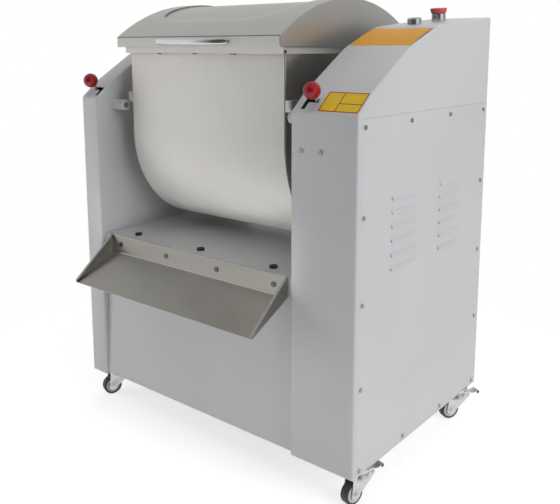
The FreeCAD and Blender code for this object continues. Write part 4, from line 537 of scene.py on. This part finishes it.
def cheek_top(c):
    """Set the raised corners to the cheek's outline."""
    if c.y < face_y - 0.001 and c.z > tip_z + 0.03:
        return Vector((c.x, c.y, tip_z + tip_rise))
    if at_bend(c) and abs(c.z - fold_z - cheek_rise) < 1e-4:
        return Vector((c.x, c.y, pan_high[2]))
    return c


def slants(edge):
    """Whether an open edge is the sloping top of a cheek."""
    a, b = edge.verts[0].co, edge.verts[1].co
    return len(edge.link_faces) == 1 and a.z != b.z and abs(a.y - b.y) > 0.05


tray = start("tray_sheet", bpy.ops.mesh.primitive_plane_add, pan_mid,
             stretch=(right_x - left_x, face_y - tip_y, 1), size=1)
reshape(tray, lambda c: Vector((c.x, c.y, tip_z if c.y < pan_mid.y else fold_z)))
draw_out(tray, lambda edge: at_bend(middle(edge)), (0, 0, pan_high[2] - fold_z))
draw_out(tray, lambda edge: at_end(edge) and middle(edge).z < fold_z, (0, 0, cheek_rise))
reshape(tray, cheek_top)
pick(tray, "VERT", lambda corner: True)
bpy.ops.mesh.remove_doubles(threshold=0.0005)
draw_out(tray, lambda edge: slants(edge) and at_end(edge) and middle(edge).y < face_y - 0.001, (0, 0, 0))
bpy.ops.transform.resize(value=(1 - 2 * hem_in / (right_x - left_x), 1, 1),
                         center_override=(pan_mid.x, 0, 0))
bpy.ops.mesh.extrude_region_move(TRANSFORM_OT_translate={"value": (0, 0, -hem_down)})
round_edges(tray, tray_bend, 0, 4,
            lambda edge: at_bend(middle(edge)) and abs(middle(edge).z - fold_z) < 1e-4)
round_edges(tray, tray_round, 30, 3)
modify(tray, "SOLIDIFY", thickness=tray_sheet, offset=0)
close(tray, brushed("brushed_stainless_tray", "#b2afa9", "#a5a29b", 0.33, (0.02, 1, 1), 0.08),
      "machine", "tray_sheet", "discharge_tray")
polish(tray, seam_steel, lambda face: abs(face.normal.x) < 0.2 and -0.95 < face.normal.y < -0.55
       and face.normal.z > 0.2)

# Stop button: a flat red mushroom cap that widens upwards and slides over its chromed collar.
# It is moulded in one colour, with a smooth gloss and a softly rounded rim.
cap_low, cap_high, cap_radius, cap_waist = 0.0197, 0.0306, 0.0203, 0.885
cap_wall, cap_round = 0.0008, 0.0024
head_low, head_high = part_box("estop_head")
# where the button's axis meets the casing's top
stop_foot = Vector(((head_low[0] + head_high[0]) / 2, front + 0.468, foot + 0.9313))
press = Vector(next(joint for joint in frame["joints"] if joint["name"] == "estop_press")["axis"])
mushroom = start("stop_mushroom", bpy.ops.mesh.primitive_cylinder_add, (0, 0, (cap_low + cap_high) / 2),
                 vertices=96, radius=cap_radius, depth=cap_high - cap_low)
reshape(mushroom, lambda c: Vector((c.x * cap_waist, c.y * cap_waist, c.z)) if c.z < cap_low + 0.001 else c)
pick(mushroom, "FACE", lambda face: face.normal.z < -0.9)
bpy.ops.mesh.delete(type="FACE")
pick(mushroom, "FACE", lambda face: face.normal.z > 0.9)
bpy.ops.mesh.inset(thickness=0.004)
bpy.ops.mesh.inset(thickness=0.007)
bpy.ops.transform.translate(value=(0, 0, 0.0004))
round_edges(mushroom, cap_round, 50, 5)
modify(mushroom, "SOLIDIFY", thickness=cap_wall, offset=-1)
lean = Matrix.Rotation(atan2(press.y, -press.z), 4, "X")
mushroom.data.transform(Matrix.Translation(stop_foot) @ lean)
close(mushroom, moulded("moulded_red_polycarbonate", "#d65659", 0.3, 40, 0.01), "estop", "stop_red",
      "estop_head", angle=35)

# Blank plates: two self-adhesive films on the right pedestal, printed yellow and orange and left empty.
# The lower one has a thin red border and dividing lines; both are duller than the paint under them.
film_lift, film_thick = 0.00025, 0.0002


def ribbon(name, path, low, high):
    """A strip between two x that follows a path of (y, z) points."""
    made = start(name, bpy.ops.mesh.primitive_grid_add,
                 x_subdivisions=1, y_subdivisions=len(path) - 1, size=2)
    reshape(made, lambda c: Vector(((low + high) / 2 + c.x * (high - low) / 2,
                                    *path[round((c.y + 1) / 2 * (len(path) - 1))])))
    return made


def on_casing(run_low, run_high):
    """Points of the casing's top between two runs from its front, a film's lift over it."""
    points = [(run, height) for run, height in profile if run_low < run < run_high]
    for edge_run in (run_low, run_high):
        a, b = next((a, b) for a, b in zip(profile, profile[1:]) if a[0] <= edge_run <= b[0])
        points.append((edge_run, a[1] + (b[1] - a[1]) * (edge_run - a[0]) / (b[0] - a[0])))
    return [(front + run, foot + height + film_lift) for run, height in sorted(points)]


def away(tree, parts, axis, line):
    """How far a film's own U or V is from a line across it."""
    off = add(tree, "Math", {"operation": "SUBTRACT", 1: line}, [(0, parts, axis)])
    return add(tree, "Math", {"operation": "ABSOLUTE"}, [(0, off, 0)])


def film(name, tones, edge_code, border, cells=None):
    """Printed film: one colour with a border and dividing lines of another, by the piece's own UV map."""
    made, tree = blank_finish(name)
    flat = add(tree, "UVMap", {"uv_map": "UVMap"})
    parts = add(tree, "SeparateXYZ", {}, [("Vector", flat, "UV")])
    place = add(tree, "TexCoord", {})
    fade = add(tree, "TexNoise", {"Scale": 60, "Detail": 3}, [("Vector", place, "Object")])
    tone = add(tree, "ValToRGB", {"stops": ((0.3, tones[0]), (0.7, tones[1]))}, [("Fac", fade, "Fac")])
    near = [add(tree, "Math", {"operation": "LESS_THAN", 1: 0.5 - width},
                [(0, away(tree, parts, axis, 0.5), 0)]) for axis, width in zip("XY", border)]
    inside = add(tree, "Math", {"operation": "MULTIPLY"}, [(0, near[0], 0), (1, near[1], 0)])
    if cells:
        upright, level = [add(tree, "Math", {"operation": "GREATER_THAN", 1: width / 2},
                              [(0, away(tree, parts, axis, line), 0)])
                          for axis, width, line in zip("XY", border, cells)]
        beside = add(tree, "Math", {"operation": "LESS_THAN", 1: cells[0]}, [(0, parts, "X")])
        either = add(tree, "Math", {"operation": "MAXIMUM"}, [(0, beside, 0), (1, level, 0)])
        lines = add(tree, "Math", {"operation": "MULTIPLY"}, [(0, upright, 0), (1, either, 0)])
        inside = add(tree, "Math", {"operation": "MULTIPLY"}, [(0, inside, 0), (1, lines, 0)])
    # sockets 6 and 7 are the two colours of a colour mix
    mixed = add(tree, "Mix", {"data_type": "RGBA", 6: linear(edge_code)},
                [("Factor", inside, 0), (7, tone, "Color")])
    skin = add(tree, "BsdfPrincipled", {"Roughness": 0.45, "IOR": 1.5}, [("Base Color", mixed, 2)])
    add(tree, "OutputMaterial", {}, [("Surface", skin, 0)])
    return made


plate_left, plate_right = right_low[0] + 0.0635, right_high[0] - 0.0048
yellow = film("printed_yellow_film", ("#e0bb00", "#e8c400"), "#b0281c", (0.026, 0.045), (0.42, 0.42))
orange = film("printed_orange_film", ("#e29d02", "#e7a206"), "#dc9600", (0.01, 0.01))
for name, finish, runs, left in (("lower_blank_plate", yellow, (0.0035, 0.046), plate_left),
                                 ("upper_blank_plate", orange, (0.19, 0.296), right_low[0] + 0.008)):
    plate = ribbon(name, on_casing(*runs), left, plate_right)
    modify(plate, "SOLIDIFY", thickness=film_thick, offset=1)
    close(plate, finish, "machine", "casing_paint")

# Deck plugs: three black rubber stoppers with a thick, dished flange, pressed into holes in the deck.
# Moulding leaves the rubber matt with a soft sheen at its edges.
plug_flange, plug_step, plug_dish, plug_round = 0.0028, 0.0008, 0.0014, 0.0011
deck_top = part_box("deck_panel")[1][2]
plug_low, plug_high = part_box("deck_plugs")
plug_half, plug_y = (plug_high[1] - plug_low[1]) / 2, (plug_high[1] + plug_low[1]) / 2
plug_top = plug_high[2] + 0.0014
plug_rubber = moulded("moulded_nitrile_rubber", "#141415", 0.5, 500, 0.15)
plug_spots = (plug_low[0] + plug_half, (plug_low[0] + plug_high[0]) / 2, plug_high[0] - plug_half)
for number, plug_x in enumerate(plug_spots, 1):
    plug = start("deck_plug_%d" % number, bpy.ops.mesh.primitive_cylinder_add,
                 (plug_x, plug_y, (plug_top + deck_top) / 2),
                 vertices=56, radius=plug_half, depth=plug_top - deck_top)
    pick(plug, "FACE", lambda face: face.normal.z > 0.9)
    bpy.ops.mesh.inset(thickness=plug_flange)
    bpy.ops.mesh.inset(thickness=plug_step)
    bpy.ops.transform.translate(value=(0, 0, -plug_dish))
    pick(plug, "EDGE", lambda edge: middle(edge).z > plug_top - 1e-5
         and hypot(middle(edge).x - plug_x, middle(edge).y - plug_y) > plug_half - 0.0002)
    bpy.ops.mesh.bevel(offset=plug_round, segments=3, affect="EDGES")
    # the first plug stands for all three, which are one node
    close(plug, plug_rubber, "machine", "black_rubber", *(["deck_plugs"] if number == 1 else []))

# Casters: a head bolted under the pedestal, a stamped fork with its axle, a wheel and a brake pedal.
# The steel is zinc plated, the tread is grey rubber on a light nylon hub, and the brake shoe is black.
axle, pivot = Vector((0, -0.022, 0.025)), Vector((0, 0.027, 0.0587))
leg_mid, leg_sheet, leg_top, leg_end = 0.01275, 0.0025, 0.068, 0.0125
crown_low, crown_high, crown_deep, crown_top, crown_sheet = 0.0262, 0.0215, 0.0135, 0.0687, 0.0022
head_radius, head_flare, head_gap = 0.022, 1.27, 0.0003
tyre_radius, tyre_wide, groove_mid, groove_half, groove_share = 0.025, 0.02, 0.004, 0.0006, 0.975
hub_radius, hub_wide, hub_dish, dish_radius = 0.0192, 0.0196, 0.965, 0.0155
pedal_half, pedal_sheet, roll_radius = 0.0108, 0.0014, 0.0048

fork = start("fork", bpy.ops.mesh.primitive_cone_add, (0, 0, crown_top - crown_deep / 2),
             vertices=72, radius1=crown_low, radius2=crown_high, depth=crown_deep)
pick(fork, "FACE", lambda face: face.normal.z < -0.9)
bpy.ops.mesh.delete(type="FACE")
draw_out(fork, lambda edge: edge.is_boundary, (0, 0, -0.0025))
round_edges(fork, 0.004, steps=5, test=lambda edge: abs(edge.verts[0].co.z - edge.verts[1].co.z) < 1e-5)
score(fork, (0, 0.015, 0), (0, 1, 0), clear_outer=True)
modify(fork, "SOLIDIFY", thickness=crown_sheet, offset=-1)
welds = []
for side in (-1, 1):
    mid_x, face_x = side * leg_mid, side * (leg_mid + leg_sheet / 2)
    leg = block("leg", (mid_x - leg_sheet / 2, -0.036, axle.z),
                (mid_x + leg_sheet / 2, 0.036, leg_top), 0.0001, 1)
    for y, z, normal in ((axle.y - leg_end, axle.z, (0, -0.985, 0.17)),
                         (axle.y + 0.0118, axle.z - 0.004, (0, 0.62, -0.785)),
                         (pivot.y + 0.0062, pivot.z, (0, 0.95, 0.31))):
        score(leg, (0, y, z), normal, clear_outer=True, use_fill=True)
    carve(leg, drum("leg_end", (mid_x, axle.y, axle.z), leg_end, leg_sheet), "UNION")
    round_edges(leg, 0.0006, sharp=50)
    welds.append(leg)
    stud = pivot + Vector((0, -0.014, -0.006))
    for name, spot, out, radius, depth, sides, soft, steps in (
            ("boss", axle, 0.0003, 0.0088, 0.0012, 48, 0.0005, 2),
            ("nut", axle, 0.0014, 0.0046, 0.0026, 6, 0.0004, 2),
            ("tip", axle, 0.0015, 0.0022, 0.003, 24, 0.0006, 2),
            ("rivet", pivot, 0.0004, 0.0034, 0.0018, 32, 0.0008, 3),
            ("stud", stud, 0.0003, 0.0022, 0.0014, 24, 0.0005, 2)):
        welds.append(drum(name, (face_x + side * out, spot.y, spot.z), radius, depth, sides))
        round_edges(welds[-1], soft, steps=steps)
weld_on(fork, *welds)

head = start("head", bpy.ops.mesh.primitive_cylinder_add, (0, 0, (foot + crown_top + head_gap) / 2),
             vertices=72, radius=head_radius, depth=foot - crown_top - head_gap)
for height in (foot - 0.0025, foot - 0.0045):
    score(head, (0, 0, height), (0, 0, 1))
reshape(head, lambda c: Vector((c.x * head_flare, c.y * head_flare, c.z)) if c.z > foot - 0.003 else c)
round_edges(head, 0.0009, sharp=20, test=lambda edge: middle(edge).z < foot - 0.0001)


def from_axle(spot):
    """How far a point is from the axle."""
    return hypot(spot.y - axle.y, spot.z - axle.z)


def groove(c):
    """Sink the tread's two grooves and the middle of each side."""
    if abs(abs(c.x) - groove_mid) < 1e-5:
        return Vector((c.x, axle.y + (c.y - axle.y) * groove_share, axle.z + (c.z - axle.z) * groove_share))
    return Vector((c.x * 0.9, c.y, c.z)) if from_axle(c) < 0.0196 else c


tyre = drum("tyre", axle, tyre_radius, tyre_wide, 80)
for mid_x in (-groove_mid, groove_mid):
    for cut_x in (mid_x - groove_half, mid_x, mid_x + groove_half):
        score(tyre, (cut_x, 0, 0), (1, 0, 0))
pick(tyre, "FACE", lambda face: abs(face.normal.x) > 0.9)
bpy.ops.mesh.inset(thickness=0.0056)
reshape(tyre, groove)
round_edges(tyre, 0.003, steps=5,
            test=lambda edge: abs(middle(edge).x) > 0.0095 and from_axle(middle(edge)) > 0.024)
hub = drum("hub", axle, hub_radius, hub_wide, 64)
pick(hub, "FACE", lambda face: abs(face.normal.x) > 0.9)
bpy.ops.mesh.inset(thickness=0.0022)
bpy.ops.mesh.inset(thickness=0.0008)
reshape(hub, lambda c: Vector((c.x * hub_dish, c.y, c.z)) if from_axle(c) < dish_radius else c)
round_edges(hub, 0.0005, sharp=25)
collar = drum("hub_collar", axle, 0.0062, 0.0226, 40)
round_edges(collar, 0.0006)
weld_on(hub, collar)

blade = [(pivot.y + run, pivot.z + rise)
         for run, rise in ((-0.006, 0.0046), (0.003, 0.0046), (0.011, 0.0032),
                           (0.02, 0.0012), (0.027, 0.003), (0.032, 0.0052))]
roll_y, roll_z = pivot.y + 0.0336, pivot.z + 0.0006
blade += [(roll_y + roll_radius * sin(radians(turn)), roll_z + roll_radius * cos(radians(turn)))
          for turn in range(10, 310, 20)]
pedal = ribbon("pedal", blade, -pedal_half, pedal_half)
modify(pedal, "SOLIDIFY", thickness=pedal_sheet, offset=-1)
round_edges(pedal, 0.0004, sharp=60)
ears = [drum("ear", (x, pivot.y, pivot.z), 0.005, 0.0013, 40) for x in (-0.0102, 0.0102)]
for ear in ears:
    round_edges(ear, 0.0003)
weld_on(pedal, *ears)
shoe = block("shoe", pivot + Vector((-0.0085, -0.0225, -0.0205)),
             pivot + Vector((0.0085, -0.0105, -0.0045)), 0.0012)
shank = block("shank", pivot + Vector((-0.005, -0.0125, -0.0085)),
              pivot + Vector((0.005, 0.002, 0.0035)), 0.0006)
weld_on(shoe, shank)

caster_zinc = bright("bright_zinc_plate", "#cacbca", 0.24, 0.36)
tread_rubber = moulded("caster_tread_rubber", "#35363a", 0.5, 450, 0.15)
hub_nylon = moulded("light_nylon", "#c9cac8", 0.4, 300, 0.1)
shoe_rubber = moulded("brake_rubber", "#151516", 0.5, 450, 0.15)
joints = {joint["name"]: joint for joint in frame["joints"]}
for corner in ("front_left", "front_right", "rear_left", "rear_right"):
    rolling = joints["roll_" + corner]
    turned = Matrix.Rotation(atan2(rolling["axis"][1], rolling["axis"][0]), 4, "Z")
    swivel = Vector(rolling["pos_m"]) - turned @ axle
    # the first head stands for all four, which are one node
    heads = ["caster_heads"] if corner == "front_left" else []
    for model, kind, finish, body, slot, replaced in (
            (head, "caster_head", caster_zinc, "machine", "bright_metal", heads),
            (fork, "caster_fork", caster_zinc, "caster_" + corner, "bright_metal", ["fork_" + corner]),
            (tyre, "tyre", tread_rubber, "rolling_" + corner, "wheel_rubber", ["wheel_" + corner]),
            (hub, "wheel_hub", hub_nylon, "rolling_" + corner, "box_plastic", []),
            (pedal, "pedal", caster_zinc, "pedal_" + corner, "bright_metal", ["brake_pedal_" + corner]),
            (shoe, "brake_shoe", shoe_rubber, "pedal_" + corner, "black_rubber", [])):
        made = bpy.data.objects.new(kind + "_" + corner, model.data.copy())
        bpy.context.scene.collection.objects.link(made)
        made.data.transform(Matrix.Translation(swivel) @ turned)
        made.data.name = made.name
        close(made, finish, body, slot, *replaced)
for model in (head, fork, tyre, hub, pedal, shoe):
    bpy.data.objects.remove(model)

# Machined steel: the agitator in the bowl, the gear, the pinion's shaft and the motor's pulley.
# It is ground and oiled, which leaves a grey metal with an uneven, half dull gloss.
machined, tree = blank_finish("ground_steel")
place = add(tree, "TexCoord", {})
ground = add(tree, "TexNoise", {"Scale": 90, "Detail": 3}, [("Vector", place, "Object")])
gloss = add(tree, "MapRange", {"To Min": 0.25, "To Max": 0.42}, [("Value", ground, "Fac")])
metal = add(tree, "BsdfPrincipled", {"Metallic": 1, "Base Color": linear("#b4b3b0")},
            [("Roughness", gloss, "Result")])
add(tree, "OutputMaterial", {}, [("Surface", metal, 0)])
wear(machined, "agitator_shaft", "agitator_wings", "driven_gear", "pinion_shaft", "motor_pulley")

# Small parts and drive: cast iron, bronze, rubber and plastic, each in its one colour.
# Paint and mould leave a fine grain, which keeps their gloss low and uneven.
wear(moulded("painted_cast_iron", "#4c4f52", 0.5, 220, 0.3), "bearing_housings", "counter_pulley")
wear(moulded("bearing_bronze", "#a67c3e", 0.35, 200, 0.1), "trunnion_bushes", "shaft_bushes")
wear(moulded("painted_channel", "#63676b", 0.45, 200, 0.1), "base_frame")
wear(moulded("nitrile_rubber", "#161617", 0.6, 500, 0.2), "stop_buffers", "shaft_seals", "drive_belt")
wear(moulded("red_phenolic", "#98061a", 0.2, 40, 0.01), "left_lock_knob", "right_lock_knob")
wear(moulded("black_polyamide", "#1b1b1d", 0.45, 500, 0.15), "cable_gland")
wear(moulded("green_polycarbonate", "#1c8a4a", 0.25, 40, 0.01), "start_button")
wear(moulded("painted_aluminium", "#6e757b", 0.45, 250, 0.2), "motor")
wear(moulded("light_abs", "#c4c6c8", 0.5, 400, 0.2), "contactor_box")

# Studio: a pale floor, soft lamps and a camera at the photograph's angle.
# Metal sees white walls under a dimmer ceiling, with one soft dark opening in front of the machine.
scene = bpy.context.scene
scene.view_settings.view_transform = "Standard"
scene.world = bpy.data.worlds.new("studio")
scene.world.use_nodes = True
tree = scene.world.node_tree
tree.nodes.clear()
way = add(tree, "TexCoord", {})
parts = add(tree, "SeparateXYZ", {}, [("Vector", way, "Generated")])
walls = add(tree, "MapRange", {"From Min": 0.15, "From Max": 0.85, "To Min": 0.93, "To Max": 0.57},
            [("Value", parts, "Z")])
facing = add(tree, "VectorMath", {"operation": "DOT_PRODUCT", 1: (0.26, -0.966, 0)},
             [(0, way, "Generated")])
opening = add(tree, "MapRange", {"From Min": 0.57, "From Max": 0.86, "To Min": 1, "To Max": 0.1},
              [("Value", facing, "Value")])
behind = add(tree, "VectorMath", {"operation": "DOT_PRODUCT", 1: (0.766, 0.643, 0)},
             [(0, way, "Generated")])
shade = add(tree, "MapRange", {"From Min": 0.78, "From Max": 0.95, "To Min": 1, "To Max": 0.42},
            [("Value", behind, "Value")])
level = add(tree, "Math", {"operation": "MULTIPLY"}, [(0, walls, 0), (1, opening, 0)])
level = add(tree, "Math", {"operation": "MULTIPLY"}, [(0, level, 0), (1, shade, 0)])
room = add(tree, "Background", {"Color": [1, 1, 1, 1]}, [("Strength", level, 0)])
seen = add(tree, "LightPath", {})
mirrored = add(tree, "Math", {"operation": "MAXIMUM"},
               [(0, seen, "Is Glossy Ray"), (1, seen, "Is Transmission Ray")])
white = add(tree, "Background", {"Color": [1, 1, 1, 1], "Strength": 1})
dim = add(tree, "Background", {"Color": [0.97, 0.98, 1, 1], "Strength": 0.195})
lit = add(tree, "MixShader", {}, [("Fac", mirrored, 0), (1, dim, 0), (2, room, 0)])
mixed = add(tree, "MixShader", {}, [("Fac", seen, "Is Camera Ray"), (1, lit, 0), (2, white, 0)])
add(tree, "OutputWorld", {}, [("Surface", mixed, 0)])

floor = start("studio_floor", bpy.ops.mesh.primitive_plane_add, (0, 0, -0.0005), size=5)
paper, tree = blank_finish("paper_floor")
seen = add(tree, "LightPath", {})
sheet = add(tree, "BsdfDiffuse", {"Color": linear("#f2f2f2")})
shown = add(tree, "BsdfDiffuse", {"Color": linear("#c4c4c4")})
glow = add(tree, "Emission", {"Color": [1, 1, 1, 1], "Strength": 0.72})
both = add(tree, "AddShader", {}, [(0, shown, 0), (1, glow, 0)])
bare = add(tree, "Emission", {"Color": [1, 1, 1, 1], "Strength": 1})
place = add(tree, "TexCoord", {})
reach = add(tree, "VectorMath", {"operation": "LENGTH"}, [(0, place, "Object")])
fade = add(tree, "MapRange", {"From Min": 0.6, "From Max": 1.1}, [("Value", reach, "Value")])
near = add(tree, "MixShader", {}, [("Fac", fade, 0), (1, both, 0), (2, bare, 0)])
mirrored = add(tree, "Math", {"operation": "MAXIMUM"},
               [(0, seen, "Is Glossy Ray"), (1, seen, "Is Transmission Ray")])
direct = add(tree, "Math", {"operation": "MAXIMUM"}, [(0, seen, "Is Camera Ray"), (1, mirrored, 0)])
mixed = add(tree, "MixShader", {}, [("Fac", direct, 0), (1, sheet, 0), (2, near, 0)])
add(tree, "OutputMaterial", {}, [("Surface", mixed, 0)])
floor.data.materials.append(paper)


def lamp(name, spot, aim, size, power, spread=180, height=0, shows=False):
    """A soft lamp aimed at a point, square unless it has a height; metal mirrors it where it shows."""
    data = bpy.data.lights.new(name, "AREA")
    data.size = size
    if height:
        data.shape = "RECTANGLE"
        data.size_y = height
    data.energy = power
    data.spread = radians(spread)
    made = bpy.data.objects.new(name, data)
    scene.collection.objects.link(made)
    made.location = spot
    made.rotation_euler = (Vector(aim) - Vector(spot)).to_track_quat("-Z", "Y").to_euler()
    made.visible_glossy = shows
    return made


lamp("key_right", (3.2, -0.2, 1.6), (0.2, 0, 0.55), 2.4, 58)
lamp("spark", (2.2, -1.6, 2.4), (0, -0.2, 0.8), 0.5, 1.6, shows=True)
lamp("top", (0.3, 0.2, 3.2), (0, 0, 0.5), 2.4, 26)
lamp("front_left", (-1.75, -1.35, 0.6), (-0.4, 0, 0.5), 1.1, 10.5)
lamp("floor_front", (0, -1.15, 0.95), (0, -1.15, 0), 1.1, 3.2, spread=70)
under_bowl = lamp("under_bowl", (-0.05, -0.62, 0.42), (-0.05, -0.05, 0.55), 0.5, 0.36,
                  spread=44, height=0.06)
under_bowl.visible_camera = False
lamp("back", (-0.9, 3.1, 1.3), (0, 0.3, 0.55), 1.8, 22)

frame_wide, focal_px, horizon_shift = 560, 728.99, 85
lens = bpy.data.cameras.new("camera")
lens.sensor_width = 36
lens.lens = focal_px / frame_wide * lens.sensor_width
lens.shift_y = -horizon_shift / frame_wide
camera = bpy.data.objects.new("camera", lens)
scene.collection.objects.link(camera)
camera.location = (1.1627, -1.3992, 0.9497)
camera.rotation_euler = (radians(90 - 9.29), 0, radians(39))
scene.camera = camera
